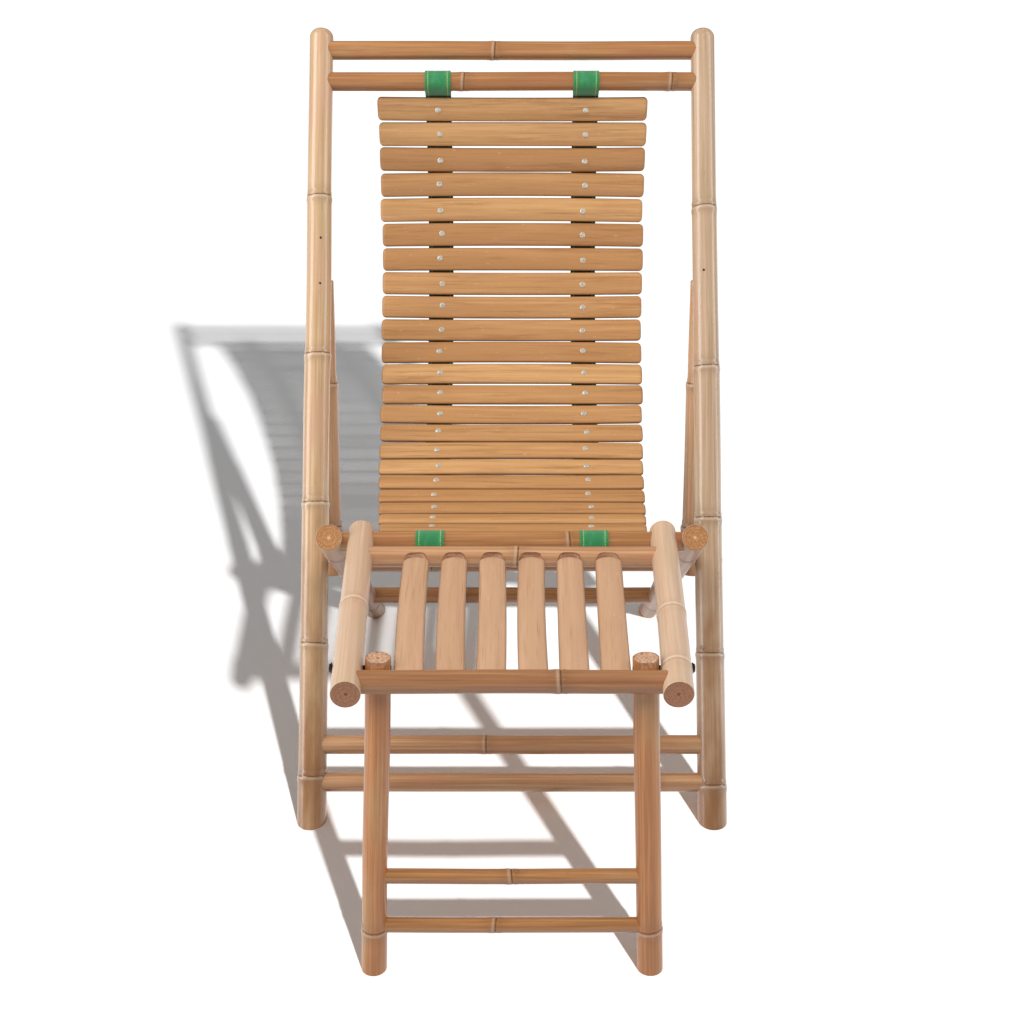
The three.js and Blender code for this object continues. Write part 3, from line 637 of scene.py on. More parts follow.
class Culm:
    """A bamboo culm between two points, from its root end."""

    def __init__(self, start, end, root_radius, tip_radius, joint_shares, seed):
        self.start = Vector(start)
        self.length = (Vector(end) - self.start).length
        self.direction = (Vector(end) - self.start).normalized()
        self.radii = (root_radius, tip_radius)
        self.joints = [share * self.length for share in joint_shares]
        self.seed = seed
        self.side = self.direction.orthogonal().normalized()
        self.other = self.direction.cross(self.side)
        dice = random.Random(seed)
        self.slants = [dice.uniform(0, math.tau) for _ in self.joints]
        self.oval_turn = dice.uniform(0, math.tau)
        self.tone = dice.uniform(-TONE_SPREAD, TONE_SPREAD)
        self.buds = [dice.uniform(0, math.tau) for _ in self.joints]

    def base_radius(self, along):
        """Even between the joints, and a little less past each one."""
        root, tip = self.radii
        passed = sum(0.5 + 0.5 * math.tanh((along - joint) / JOINT_TAPER) for joint in self.joints)
        return root + (tip - root) * passed / len(self.joints)

    def joint_distance(self, along, turn):
        """How far past the nearest joint's slanted line a spot is, or minus that before it."""
        best = self.length
        for place, slant in zip(self.joints, self.slants):
            distance = along - place + JOINT_SLANT * math.cos(turn - slant)
            if abs(distance) < abs(best):
                best = distance
        return best

    def bud_distance(self, along, turn):
        best = self.length
        base = self.base_radius(along)
        for place, bud in zip(self.joints, self.buds):
            around = math.remainder(turn - bud, math.tau) * base
            best = min(best, math.hypot(along - place - BUD_ABOVE, around))
        return best

    def radius(self, along, turn):
        base = self.base_radius(along)
        size = base / RAIL_RADIUS
        distance = self.joint_distance(along, turn)
        radius = base * (1 + OVALITY * math.cos(2 * (turn - self.oval_turn))) - OVALITY * base
        radius += JOINT_SWELL * size * bell(distance + SWELL_BELOW, SWELL_REACH)
        radius += JOINT_RIDGE * size * bell(distance - RIDGE_ABOVE, RIDGE_REACH)
        radius -= JOINT_GROOVE * bell(distance, GROOVE_REACH)
        radius += BUD_RISE * bell(self.bud_distance(along, turn), BUD_RADIUS)
        return radius

    def centre(self, along):
        """The axis, which wanders a little between the ends."""
        share = min(max(along / self.length, 0), 1)
        spot = Vector((along * WANDER_RATE, self.seed * WANDER_SEED_STEP, 0))
        sway = self.side * noise.noise(spot) + self.other * noise.noise(spot + SIDEWAYS_WANDER)
        return self.start + self.direction * along + sway * WANDER * math.sin(math.pi * share)

    def ring(self, along, inset=0.0, depth=0.0):
        place = self.centre(along) + self.direction * depth
        points = []
        for turn in full_turn(CULM_SIDES):
            radius = max(self.radius(along, turn) - inset, 0)
            points.append(place + (self.side * math.cos(turn) + self.other * math.sin(turn)) * radius)
        return points

    def ring_places(self, start, end):
        """Where the rings go: evenly along the culm, and close together at the joints."""
        places = [start, end]
        steps = math.ceil((end - start) / RING_STEP)
        places += [start + (end - start) * step / steps for step in range(1, steps)]
        steps = round(2 * JOINT_REACH / JOINT_RING_STEP)
        for joint in self.joints:
            places += [joint - JOINT_REACH + JOINT_RING_STEP * step for step in range(steps + 1)]
        places = sorted(place for place in places if start <= place <= end)
        kept = [places[0]]
        for place in places[1:]:
            if place - kept[-1] > JOINT_RING_STEP / 2:
                kept.append(place)
        return kept

    def sawn_end(self, along, outward, roughness):
        """Rings of a sawn end, from the bevelled rim to the middle, with a rough, slightly dished face."""
        radius = self.base_radius(along)
        rings = []
        for share in END_RING_SHARES:
            dish = CUT_ROUGHNESS * (share - 1)
            rough = []
            for point in self.ring(along, radius * (1 - share)):
                height = noise.noise(point / CUT_GRAIN + Vector((self.seed, 0, 0))) * roughness * share
                rough.append(point + self.direction * outward * (dish + height - roughness / 2))
            rings.append(rough)
        return rings

    def rings(self, start, end, dome, torn):
        """All rings from a sawn start to an end that is domed, sawn or torn."""
        rings = self.sawn_end(start, -1, CUT_ROUGHNESS)[::-1]
        rings.append(self.ring(start, END_BEVEL))
        body_end = end - (dome or END_BEVEL)
        rings += [self.ring(place) for place in self.ring_places(start + END_BEVEL, body_end)]
        if not dome:
            return rings + [self.ring(end, END_BEVEL)] + self.sawn_end(end, 1, torn)
        for turn in quarter_turn(DOME_STEPS)[1:-1]:
            inset = self.base_radius(end) * (1 - math.cos(turn) ** DOME_FULLNESS)
            rings.append(self.ring(end - dome, inset, dome * math.sin(turn)))
        return rings

    def paint(self, mesh, dome):
        """Gives the mesh its shading attributes, and the sawn faces the second material."""
        rows = []
        for vertex in mesh.vertices:
            offset = vertex.co - self.start
            along = offset.dot(self.direction)
            x = offset.dot(self.side)
            y = offset.dot(self.other)
            turn = math.atan2(y, x)
            distance = self.joint_distance(along, turn)
            local = (x, y, along + self.seed * CULM_GRAIN_STEP)
            # The pale band under each joint: partly waxy bloom, partly painted highlight.
            pale_band = bell(distance + PALE_BAND_BELOW, PALE_BAND_REACH)
            bud = self.bud_distance(along, turn)
            rim = math.hypot(x, y) / self.base_radius(along)
            rows.append((local, abs(distance), pale_band, along / self.length, bud, rim, self.tone))
        names = ("local", "joint", "pale_band", "grown", "bud", "rim", "tone")
        for name, values in zip(names, zip(*rows)):
            set_attribute(mesh, name, values)
        for face in mesh.polygons:
            offset = face.center - self.start
            along = offset.dot(self.direction)
            radial = offset - self.direction * along
            if dome and along > self.length - 2 * dome:
                continue
            facing = face.normal.dot(radial.normalized())
            if facing < SKIN_FACING_SHARE or radial.length < SKIN_RADIUS_SHARE * self.base_radius(along):
                face.material_index = 1


def cut_at_floor(mesh):
    shape = bmesh.new()
    shape.from_mesh(mesh)
    parts = shape.verts[:] + shape.edges[:] + shape.faces[:]
    bmesh.ops.bisect_plane(shape, geom=parts, plane_co=(0, 0, 0), plane_no=(0, 0, 1), clear_inner=True)
    bmesh.ops.holes_fill(shape, edges=[edge for edge in shape.edges if edge.is_boundary])
    shape.to_mesh(mesh)
    shape.free()


def outward_normals(mesh):
    shape = bmesh.new()
    shape.from_mesh(mesh)
    bmesh.ops.recalc_face_normals(shape, faces=shape.faces)
    shape.to_mesh(mesh)
    shape.free()


def carve(piece, cutters):
    """Cuts each closed cutter mesh out of the piece."""
    for cutter in cutters:
        tool = placed("cutter", cutter)
        modifier = piece.modifiers.new("cut", "BOOLEAN")
        modifier.operation = "DIFFERENCE"
        modifier.object = tool
        with bpy.context.temp_override(object=piece):
            bpy.ops.object.modifier_apply(modifier=modifier.name)
        bpy.data.objects.remove(tool)


def add_culm(node, culm, skin, sawn, dome=0.0, run_past=0.0, cutters=(), torn=CUT_ROUGHNESS):
    vertices, faces = loft(culm.rings(-run_past, culm.length, dome, torn))
    mesh = mesh_of(node, vertices, faces)
    if min(vertex.z for vertex in vertices) < 0:
        cut_at_floor(mesh)
    piece = finish_mesh(node + "_culm", mesh, [skin, sawn], CULM_SHARP)
    carve(piece, cutters)
    culm.paint(piece.data, dome)
    smooth(piece.data, CULM_SHARP)
    stands_for(piece, node)


def across_prism(outline, reach=CUTTER_REACH):
    """A closed prism along X from a side-view outline of (y, z) points, to cut with."""
    rings = [[Vector((x, y, z)) for y, z in outline] for x in (-reach, reach)]
    return mesh_of("prism", *loft(rings))


def across_rod(place, radius, reach=CUTTER_REACH):
    """A closed rod along X, to cut with."""
    outline = []
    for turn in full_turn(CULM_SIDES):
        outline.append((place.y + radius * math.cos(turn), place.z + radius * math.sin(turn)))
    return across_prism(outline, reach)


# The poles and rails of the frames.
back_up = (middle("back_top_rail") - middle("back_foot_rail_lower")).normalized()
seat_forward = (middle("seat_front_rail") - middle("seat_rear_rail")).normalized()
prop_up = middle("prop_pin_left") - middle("prop_rail")
prop_up = Vector((0, prop_up.y, prop_up.z)).normalized()
footrest_forward = (middle("footrest_front_rail") - middle("footrest_rear_rail")).normalized()
footrest_up = footrest_forward.cross(ACROSS)


def add_rail(node, skin, sawn=POLE_CUT, cutters=(), radius=RAIL_RADIUS):
    low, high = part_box(node)
    place = middle(node)
    start = Vector((low.x, place.y, place.z))
    end = Vector((high.x, place.y, place.z))
    seed, joint_shares = RAILS[node]
    add_culm(node, Culm(start, end, radius, radius, joint_shares, seed), skin, sawn, cutters=cutters)


def add_crossed_poles(kind, rail, direction, radii, joint_shares, skin, cutters):
    """The two poles of a frame, whose rail crosses them, with what is cut out of each."""
    for word, side in SIDES.items():
        node = f"{kind}_{word}"
        origin = on_pole(node, rail)
        low, high = span(node, origin, direction)
        start = origin + direction * low
        end = origin + direction * high
        culm = Culm(start, end, *radii, joint_shares, POLE_SEEDS[kind] + side)
        add_culm(node, culm, skin, POLE_CUT, cutters=cutters[word])


def add_back_frame():
    for node in ("back_top_rail", "back_sling_rail"):
        add_rail(node, RAIL_SKIN)
    for node in ("back_foot_rail_upper", "back_foot_rail_lower"):
        # The foot rails take the paler rail skin: painted light against the sling's shade.
        add_rail(node, PALE_RAIL_SKIN_WITH_PAINTED_LIGHT)
    for word, side in SIDES.items():
        node = "back_pole_" + word
        origin = on_pole(node, "back_foot_rail_lower")
        foot = origin - back_up * (origin.z / back_up.z)
        tip = foot + back_up * span(node, foot, back_up)[1]
        seed = POLE_SEEDS["back_pole"] + side
        culm = Culm(foot, tip, BACK_FOOT_RADIUS, BACK_TIP_RADIUS, BACK_JOINT_SHARES[word], seed)
        add_culm(node, culm, POLE_SKINS[word], POLE_CUT, dome=BACK_TIP_DOME, run_past=RUN_PAST)


def notch_cutters():
    """Rods that cut the three places for the prop rail."""
    prop_rail = middle("prop_rail")
    pitch = seat_forward * NOTCH_PITCH
    return [across_rod(prop_rail + pitch * step, RAIL_RADIUS + STRAP_GAP) for step in (-1, 0, 1)]


def add_seat_frame():
    add_rail("seat_front_rail", RAIL_SKIN)
    add_rail("seat_rear_rail", RAIL_SKIN)
    radii = (SEAT_FOOT_RADIUS, SEAT_FRONT_RADIUS)
    cutters = {word: notch_cutters() for word in SIDES}
    rail = "seat_front_rail"
    add_crossed_poles("seat_pole", rail, seat_forward, radii, SEAT_JOINT_SHARES, SEAT_SKIN, cutters)


def add_prop_frame():
    add_rail("prop_rail", RAIL_SKIN)
    radii = (PROP_FOOT_RADIUS, PROP_TOP_RADIUS)
    cutters = {word: fork_cutters(word) for word in SIDES}
    add_crossed_poles("prop_pole", "prop_rail", prop_up, radii, PROP_JOINT_SHARES, PROP_SKIN, cutters)


def fork_cutters(word):
    """The open slot that the bracket's tongue stands in, and the bore for its pin."""
    low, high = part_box("prop_pin_" + word)
    hinge = (low + high) / 2
    top = prop_up * RUN_PAST
    bottom = -prop_up * (FORK_DEPTH + FORK_GAP)
    front = ACROSS.cross(prop_up) * RUN_PAST
    half_width = ACROSS * (TONGUE_THICKNESS / 2 + FORK_GAP)
    rings = []
    for wall in (hinge - half_width, hinge + half_width):
        rings.append([wall - front + bottom, wall + front + bottom, wall + front + top, wall - front + top])
    slot = mesh_of("slot", *loft(rings))
    outward_normals(slot)
    bore = across_rod(hinge, (high.z - low.z) / 2, high.x - hinge.x)
    bore.transform(Matrix.Translation((hinge.x, 0, 0)))
    return slot, bore


# Flat strips.
Strip = namedtuple("Strip", "place long wide up length width thickness")


def strip_of(node, up_hint):
    """Where a strip lies: the middle of its back, its directions and its size."""
    points = np.array([tuple(corner) for corner in corners(node)])
    directions = np.linalg.eigh(np.cov((points - points.mean(0)).T))[1]
    up, wide, long = (Vector(directions[:, index]) for index in range(3))
    if up.dot(up_hint) < 0:
        up.negate()
    lies_across = abs(long.x) > abs(long.y)
    if (long.x < 0) if lies_across else (long.y > 0):
        long.negate()
    wide = up.cross(long)
    size = []
    place = Vector()
    for direction in (long, wide, up):
        low, high = span(node, Vector(), direction)
        size.append(high - low)
        place += direction * (low if direction is up else (low + high) / 2)
    return Strip(place, long, wide, up, *size)


def strip_section(half_width, thickness):
    """Points round a strip's section, (across, up), with a crowned face and rounded edges."""
    edge = thickness * SLAT_EDGE_SHARE
    rounding = min(SLAT_EDGE_ROUNDING, half_width / 2)
    inner = half_width - rounding
    shoulder = edge - rounding * EDGE_DROP_SHARE
    crossing = [half_width * (1 - 2 * step / SECTION_STEPS) for step in range(1, SECTION_STEPS)]
    points = [(-inner, 0), (inner, 0), (half_width, rounding), (half_width, shoulder)]
    for across in [inner] + crossing + [-inner]:
        points.append((across, edge + (thickness - edge) * (1 - (across / half_width) ** 2)))
    return points + [(-half_width, shoulder), (-half_width, rounding)]


def add_strip(node, material, up_hint, corner, seed, toned=0.0, loose=False):
    """A strip that is a little warped, and if it's loose also a little to one side."""
    strip = strip_of(node, up_hint)
    dice = random.Random(seed)
    bow = dice.uniform(-1, 1) * SLAT_WARP
    lift = dice.uniform(0, LIFT_SHARE) * SLAT_WARP
    tone = dice.uniform(-TONE_SPREAD, TONE_SPREAD) + toned
    slide = dice.uniform(-1, 1) * SLAT_SLIDE if loose else 0
    spread = SLAT_SPREAD if loose else 0
    grain_start = seed * STRIP_GRAIN_STEP
    half = strip.length / 2
    bend = half - corner
    rounded = [-half + corner * (1 - math.cos(turn)) for turn in quarter_turn(CORNER_STEPS)[:-1]]
    steps = round(2 * bend / SLAT_STEP)
    straight = [-bend + 2 * bend * step / steps for step in range(steps + 1)]
    rings = []
    local = []
    rim = []
    for position in rounded + straight + [-position for position in rounded[::-1]]:
        past = max(abs(position) - bend, 0)
        narrow = corner - math.sqrt(max(corner * corner - past * past, 0))
        half_width = strip.width / 2 + spread - narrow
        thickness = strip.thickness * (1 - END_SOFTENING_SHARE * (past / corner) ** 4)
        middle_line = strip.place + strip.long * (position + slide)
        sway = bow * (1 - (position / half) ** 2 * 2)
        rise = lift * (position / half) ** 2
        ring = []
        for across, height in strip_section(half_width, thickness):
            ring.append(middle_line + strip.wide * (across + sway) + strip.up * (height + rise))
            local.append((position + grain_start, across, height))
            inset = min(half_width - abs(across), half - abs(position))
            rim.append(max(1 - inset / RIM_REACH, 0))
        rings.append(ring)
    local += [(-half + grain_start, 0, 0), (half + grain_start, 0, 0)]
    rim += [1, 1]
    mesh = mesh_of(node, *loft(rings))
    set_attribute(mesh, "rim", rim)
    set_attribute(mesh, "local", local)
    set_attribute(mesh, "tone", [tone] * len(mesh.vertices))
    stands_for(finish_mesh(node + "_strip", mesh, [material], STRIP_SHARP), node)
    return strip


# Round heads of rivets, nails and bolts.
def lathe(place, direction, profile, sides=HEAD_SIDES):
    """Rings about a direction from (radius, height) pairs."""
    side = direction.orthogonal().normalized()
    other = direction.cross(side)
    rings = []
    for radius, height in profile:
        hub = place + direction * height
        ring = [hub + (side * math.cos(turn) + other * math.sin(turn)) * radius for turn in full_turn(sides)]
        rings.append(ring)
    return rings


def dome_profile(radius, height):
    profile = [(radius * HEAD_FOOT_SHARE, -HEAD_SUNK), (radius, 0)]
    for turn in quarter_turn(HEAD_STEPS)[1:-1]:
        profile.append((radius * math.cos(turn), height * math.sin(turn)))
    return profile


def add_heads(name, spots, profile, material, body):
    """One object of separate heads, each at a (place, direction)."""
    vertices = []
    faces = []
    for place, direction in spots:
        more, loops = loft(lathe(place, direction, profile))
        base = len(vertices)
        vertices += more
        faces += [tuple(base + index for index in loop) for loop in loops]
    piece = finish_mesh(name, mesh_of(name, vertices, faces), [material], HEAD_SHARP)
    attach(piece, body)


# The sling.
SLING_BODIES = {body: nodes for body, nodes in BODIES.items() if body.startswith("sling_")}
slats = []


def add_sling_slats():
    for index in range(SLAT_COUNT):
        number = index + 1
        node = f"sling_slat_{number:02d}"
        toned = PALE_TONE * (number in PALE_SLATS) + DARK_TONE * (number in DARK_SLATS)
        seed = SLING_SLAT_SEED + index
        slats.append(add_strip(node, SLING_STRIP, SITTER_SIDE, SLAT_CORNER, seed, toned, loose=True))


def slat_number(node):
    return int(node[-2:])


def add_rivets():
    profile = dome_profile(RIVET_RADIUS, RIVET_HEIGHT)
    for body, nodes in SLING_BODIES.items():
        spots = []
        for node in nodes:
            strip = slats[slat_number(node) - 1]
            dice = random.Random(node)
            for strap in STRAPS:
                across = middle(strap).x + dice.uniform(-1, 1) * RIVET_STRAY
                shift = dice.uniform(-1, 1) * RIVET_STRAY
                spot = strip.place + strip.long * across + strip.wide * shift
                spots.append((spot + strip.up * strip.thickness, strip.up))
                spots.append((spot - strip.up * (STRAP_GAP + STRAP_THICKNESS), -strip.up))
        add_heads(body + "_rivets", spots, profile, RIVET_METAL, body)


def strap_bends():
    """The points of the straps' middle line between slats, from the top."""
    bends = []
    for strip in slats:
        line = strip.place - strip.up * (STRAP_GAP + STRAP_THICKNESS / 2)
        toward_top = strip.wide if strip.wide.z * 2 + strip.wide.y > 0 else -strip.wide
        half_pitch = toward_top * (strip.width + SLAT_GAP) / 2
        if not bends:
            bends.append(line + half_pitch)
        bends.append(line - half_pitch)
    return [Vector((0, bend.y, bend.z)) for bend in bends]


def loop_path(rail, knot):
    """The middle line of a strap's loop: from the knot round the rail and back to the knot."""
    centre = middle(rail)
    centre.x = 0
    radius = RAIL_RADIUS + STRAP_GAP + STRAP_THICKNESS / 2
    toward = knot - centre
    turn = math.atan2(toward.z, toward.y)
    tangent = math.acos(radius / toward.length)
    path = [knot.copy()]
    sweep = math.tau - 2 * tangent
    for step in range(LOOP_STEPS + 1):
        angle = turn + tangent + sweep * step / LOOP_STEPS
        path.append(centre + Vector((0, math.cos(angle), math.sin(angle))) * radius)
    path.append(knot.copy())
    return path


def add_tape(name, x, path, body, webbing):
    """A strap along a path in the side view, with slightly thicker edges."""
    rings = []
    weave = []
    along = 0
    for index, point in enumerate(path):
        before = path[max(index - 1, 0)]
        after = path[min(index + 1, len(path) - 1)]
        along += (point - before).length
        face = ACROSS.cross((after - before).normalized())
        line = Vector((x, 0, 0)) + point
        ring = []
        for sign in (1, -1):
            for share, thick in TAPE_SECTION[::sign]:
                across = STRAP_WIDTH / 2 * share
                ring.append(line + ACROSS * across + face * sign * thick * STRAP_THICKNESS / 2)
                weave.append((across, along, sign * WEAVE_FACE_GAP))
        rings.append(ring)
    weave += [(0, 0, 0), (0, along, 0)]
    mesh = mesh_of(name, *loft(rings))
    set_attribute(mesh, "weave", weave)
    piece = finish_mesh(name, mesh, [webbing], STRIP_SHARP)
    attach(piece, body)
    return piece


def finely(path):
    made = [path[0]]
    for before, after in zip(path, path[1:]):
        count = max(math.ceil((after - before).length / STRAP_STEP), 1)
        made += [before.lerp(after, part / count) for part in range(1, count + 1)]
    return made


def add_straps():
    """Each strap: a loop at each end, and a length for each group of slats that moves by itself."""
    bends = strap_bends()
    for strap in STRAPS:
        x = middle(strap).x
        top_path = loop_path("back_sling_rail", bends[0])
        top = add_tape(strap + "_top_loop", x, top_path, "sling_01", LOOP_WEBBING)
        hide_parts(strap)
        front_path = loop_path("seat_front_rail", bends[SLAT_COUNT])
        add_tape(strap + "_front_loop", x, front_path, "sling_09", LOOP_WEBBING)
        for body, nodes in SLING_BODIES.items():
            numbers = [slat_number(node) for node in nodes]
            path = bends[min(numbers) - 1 : max(numbers) + 1]
            first = path[0] + (path[0] - path[1]).normalized() * STRAP_OVERLAP
            last = path[-1] + (path[-1] - path[-2]).normalized() * STRAP_OVERLAP
            # The lengths between the slats take the darker webbing, which is painted shade.
            add_tape(f"{strap}_{body}", x, finely([first] + path[1:-1] + [last]), body, SLING_WEBBING_PAINTED_SHADE)


# The footrest.
def hook_cutter():
    """Round over the seat's front rail, upright behind it, and sloped in front of it."""
    rail = middle("seat_front_rail")
    radius = RAIL_RADIUS + STRAP_GAP
    slope = math.atan2(seat_forward.z, seat_forward.y)
    outline = []
    for step in range(HOOK_STEPS + 1):
        turn = slope * step / HOOK_STEPS
        outline.append((rail.y + radius * math.cos(turn), rail.z + radius * math.sin(turn)))
    front_y, front_z = outline[-1]
    outline.append((front_y + HOOK_DEPTH * math.tan(slope), front_z - HOOK_DEPTH))
    outline.append((rail.y + radius, front_z - HOOK_DEPTH))
    return across_prism(outline)


def pocket_cutter(node):
    """The recess that a footrest slat's rear end lies in, open at the top."""
    strip = strip_of(node, footrest_up)
    half = strip.width / 2 + STRAP_GAP
    rear = -strip.length / 2 - STRAP_GAP
    outline = [(rear + RUN_PAST, half)]
    for turn in quarter_turn(POCKET_STEPS):
        along = rear + FOOTREST_CORNER * (1 - math.sin(turn))
        outline.append((along, half - FOOTREST_CORNER * (1 - math.cos(turn))))
    outline += [(along, -across) for along, across in outline[::-1]]
    rings = []
    for height in (-STRAP_GAP, RUN_PAST):
        base = strip.place + strip.up * height
        rings.append([base + strip.long * along + strip.wide * across for along, across in outline])
    mesh = mesh_of("pocket", *loft(rings))
    outward_normals(mesh)
    return mesh


def add_footrest():
    for word, side in SIDES.items():
        node = "footrest_side_" + word
        start = end_middle(node, -footrest_forward)
        end = end_middle(node, footrest_forward)
        seed = POLE_SEEDS["footrest_side"] + side
        culm = Culm(start, end, SIDE_RADIUS, SIDE_RADIUS, SIDE_JOINT_SHARES[word], seed)
        add_culm(node, culm, SIDE_SKIN, SIDE_CUT, cutters=[hook_cutter()])
    pockets = []
    for index in range(FOOTREST_SLAT_COUNT):
        node = f"footrest_slat_{index + 1}"
        add_strip(node, FOOTREST_STRIP, footrest_up, FOOTREST_CORNER, FOOTREST_SLAT_SEED + index)
        pockets.append(pocket_cutter(node))
    # The walls of the slat pockets take the pale torn colour: painted light in place of their shade.
    add_rail("footrest_rear_rail", PALE_RAIL_SKIN_WITH_PAINTED_LIGHT, TORN_CUT_AND_POCKET_PAINTED_LIGHT, pockets)
    add_rail("footrest_front_rail", FRONT_RAIL_SKIN)


def cope_cutter(hinge, up):
    """Rounds the front of a leg's top about its bolt."""
    front = ACROSS.cross(up)
    spots = []
    for turn in quarter_turn(COPE_STEPS):
        spots.append(hinge + (up * math.cos(turn) + front * math.sin(turn)) * LEG_RADIUS)
    spots += [hinge + way * COPE_REACH for way in (front, front + up, up)]
    return across_prism([(spot.y, spot.z) for spot in spots[::-1]])


def add_footrest_legs():
    for rung in ("footrest_rung_upper", "footrest_rung_lower"):
        add_rail(rung, RAIL_SKIN, radius=RUNG_RADIUS)
    for word, side in SIDES.items():
        node = "footrest_leg_" + word
        bolt = "footrest_leg_bolt_" + word
        foot = end_middle(node, Vector((0, 0, -1)))
        foot.z = 0
        low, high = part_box(bolt)
        inner, outer = (low.x, high.x) if side > 0 else (high.x, low.x)
        hinge = Vector((inner + side * LEG_RADIUS, middle(bolt).y, middle(bolt).z))
        up = (hinge - foot).normalized()
        top = foot + up * span(node, foot, up)[1]
        seed = POLE_SEEDS["footrest_leg"] + side
        culm = Culm(foot, top, LEG_FOOT_RADIUS, LEG_RADIUS, LEG_JOINT_SHARES, seed)
        cope = [cope_cutter(hinge, up)]
        add_culm(node, culm, LEG_SKIN, TORN_CUT_AND_POCKET_PAINTED_LIGHT, run_past=RUN_PAST, cutters=cope, torn=TORN_ROUGHNESS)
        seat = Vector((outer - side * (BOLT_RIM + BOLT_CROWN), hinge.y, hinge.z))
        add_leg_bolt(bolt, seat, ACROSS * side, abs(seat.x - inner))


def add_leg_bolt(node, seat, direction, length):
    """A round-headed bolt with a washer, through the side pole and the leg."""
    profile = [
        (BOLT_SHANK_RADIUS, -length),
        (BOLT_SHANK_RADIUS, 0),
        (BOLT_RADIUS * WASHER_FOOT_SHARE, 0),
        (BOLT_RADIUS, WASHER_THICKNESS),
        (BOLT_HEAD_RADIUS, WASHER_THICKNESS),
        (BOLT_HEAD_RADIUS, BOLT_RIM),
    ]
    for turn in quarter_turn(BOLT_STEPS)[1:-1]:
        profile.append((BOLT_HEAD_RADIUS * math.cos(turn), BOLT_RIM + BOLT_CROWN * math.sin(turn)))
    mesh = mesh_of(node, *loft(lathe(seat, direction, profile, BOLT_SIDES)))
    stands_for(finish_mesh(node + "_turned", mesh, [DARK_STEEL], BOLT_SHARP), node)


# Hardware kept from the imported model, with softened edges.
def finish_kept_hardware():
    for node in ("prop_bracket", "prop_pin", "pivot_pin"):
        for word in SIDES:
            piece = CAD_NODES[f"{node}_{word}"]
            piece.data.materials.clear()
            piece.data.materials.append(ZINC)
            bevel = piece.modifiers.new("soft_edges", "BEVEL")
            bevel.width = HARDWARE_BEVEL
            bevel.segments = 2
            bevel.limit_method = "ANGLE"


def add_nails():
    """Nail heads in the front of the back poles, where the prop's brackets are nailed on."""
    for word, side in SIDES.items():
        pole = "back_pole_" + word
        origin = on_pole(pole, "back_foot_rail_lower")
        axis = origin + back_up * (middle("prop_bracket_" + word) - origin).dot(back_up)
        aim = ACROSS.cross(back_up) * NAIL_FRONT_SHARE - ACROSS * side * NAIL_INWARD_SHARE
        aim.normalize()
        spots = [(axis + back_up * step + aim * NAIL_DEPTH, aim) for step in NAIL_STEPS[word]]
        add_heads(pole + "_nails", spots, dome_profile(NAIL_RADIUS, NAIL_HEIGHT), DARK_STEEL, "back_frame")


# The room: a pale floor, even light from all round, soft boxes for the recliner, and a sun for its shadow.
def add_floor():
    size = FLOOR_HALF_SIZE
    spots = [(-size, -size, 0), (size, -size, 0), (size, size, 0), (-size, size, 0)]
    mesh = mesh_of("floor", spots, [(0, 1, 2, 3)])
    material = bpy.data.materials.new("floor_paper")
    material.use_nodes = True
    tree = material.node_tree
    tree.nodes.clear()
    path = add(tree, "LightPath").outputs
    whether_seen = {0: path["Is Camera Ray"], 1: path["Is Glossy Ray"]}
    seen = add(tree, "Math", whether_seen, operation="MAXIMUM").outputs[0]
    grey = add(tree, "BsdfDiffuse", {"Color": (FLOOR_GREY, FLOOR_GREY, FLOOR_GREY, 1)})
    white = add(tree, "BsdfDiffuse", {"Color": (PAPER_WHITE, PAPER_WHITE, PAPER_WHITE, 1)})
    mix = add(tree, "MixShader", {0: seen, 1: grey.outputs[0], 2: white.outputs[0]})
    add(tree, "OutputMaterial", {0: mix.outputs[0]})
    mesh.materials.append(material)
    floor = placed("floor", mesh)


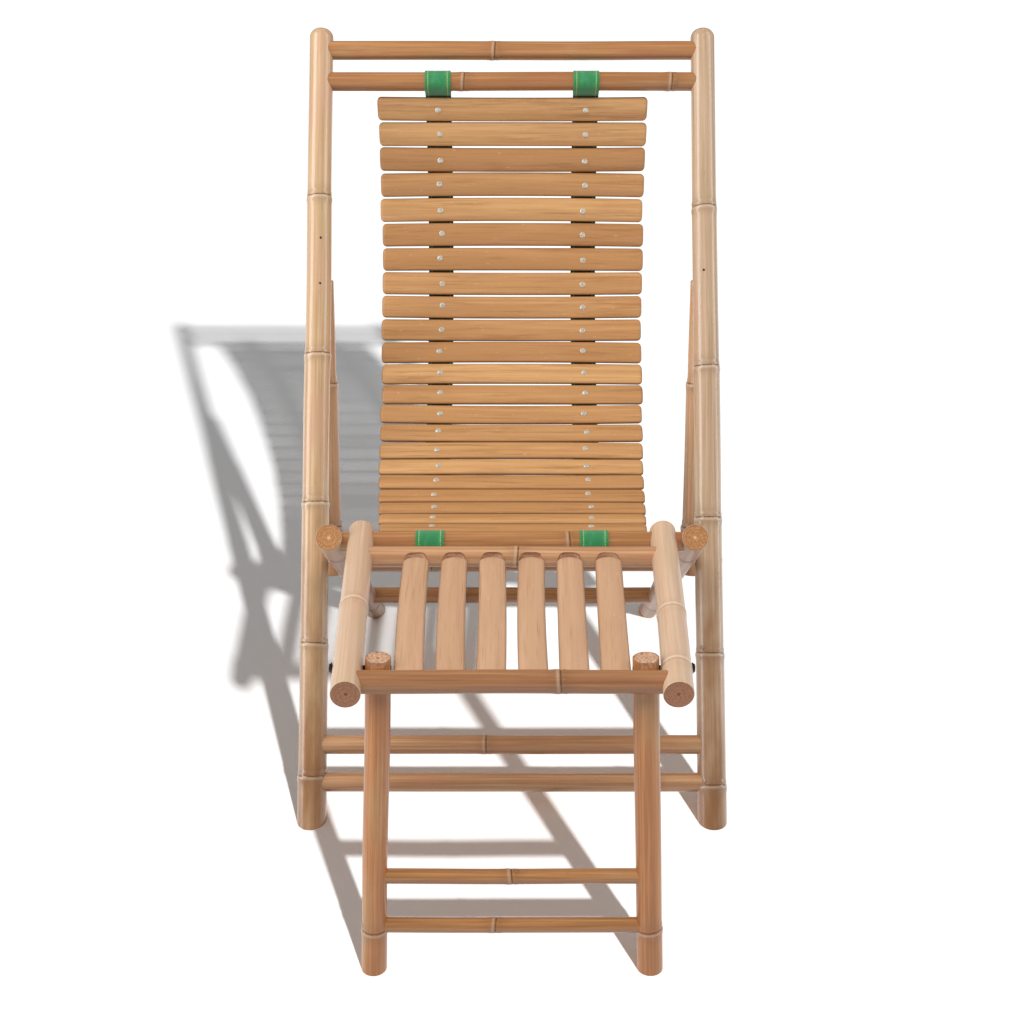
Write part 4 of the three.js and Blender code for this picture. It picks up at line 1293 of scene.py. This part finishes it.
def add_world():
    world = bpy.data.worlds.new("studio")
    bpy.context.scene.world = world
    world.use_nodes = True
    tree = world.node_tree
    tree.nodes.clear()
    seen = add(tree, "LightPath").outputs["Is Camera Ray"]
    white = add(tree, "Background", {"Color": (1, 1, 1, 1), "Strength": 1})
    light = add(tree, "Background", {"Color": (1, 1, 1, 1), "Strength": AMBIENT_STRENGTH})
    mix = add(tree, "MixShader", {0: seen, 1: light.outputs[0], 2: white.outputs[0]})
    add(tree, "OutputWorld", {0: mix.outputs[0]})


def placed_lamp(name, kind, strength):
    lamp = bpy.data.lights.new(name, kind)
    lamp.energy = strength
    return placed(name, lamp)


def link_to_floor(lamp, state):
    """Keeps a lamp to the floor alone, or off the floor."""
    group = bpy.data.collections.new(lamp.name + "_receivers")
    group.objects.link(bpy.data.objects["floor"])
    group.collection_objects[0].light_linking.link_state = state
    lamp.light_linking.receiver_collection = group


def add_shadow_light():
    """Throws the object's shadow on the paper, to the back left."""
    sun = placed_lamp("shadow_sun", "SUN", SUN_STRENGTH)
    sun.data.angle = math.radians(SUN_SPREAD)
    sun.rotation_euler = Vector(SUN_FROM).to_track_quat("Z", "Y").to_euler()
    link_to_floor(sun, "INCLUDE")


def add_soft_boxes():
    """A wide box above the camera, which leaves no highlight, and a tall one at each side, which does."""
    for name, (place, aim, size, power) in SOFT_BOXES.items():
        box = placed_lamp(name, "AREA", power)
        box.data.shape = "RECTANGLE"
        box.data.size, box.data.size_y = size
        box.location = place
        box.rotation_euler = (Vector(place) - Vector(aim)).to_track_quat("Z", "Y").to_euler()
        box.visible_glossy = name != "top_box"
        link_to_floor(box, "EXCLUDE")


def add_camera():
    lens = bpy.data.cameras.new("camera")
    lens.lens = CAMERA_LENS
    lens.sensor_width = CAMERA_SENSOR
    camera = placed("camera", lens)
    camera.location = CAMERA_PLACE
    camera.rotation_euler = (math.radians(90 - CAMERA_PITCH), 0, 0)
    bpy.context.scene.camera = camera


add_back_frame()
add_seat_frame()
add_prop_frame()
add_sling_slats()
add_rivets()
add_straps()
add_footrest()
add_footrest_legs()
finish_kept_hardware()
add_nails()
add_floor()
add_world()
add_shadow_light()
add_soft_boxes()
add_camera()
bpy.context.scene.view_settings.view_transform = "Standard"
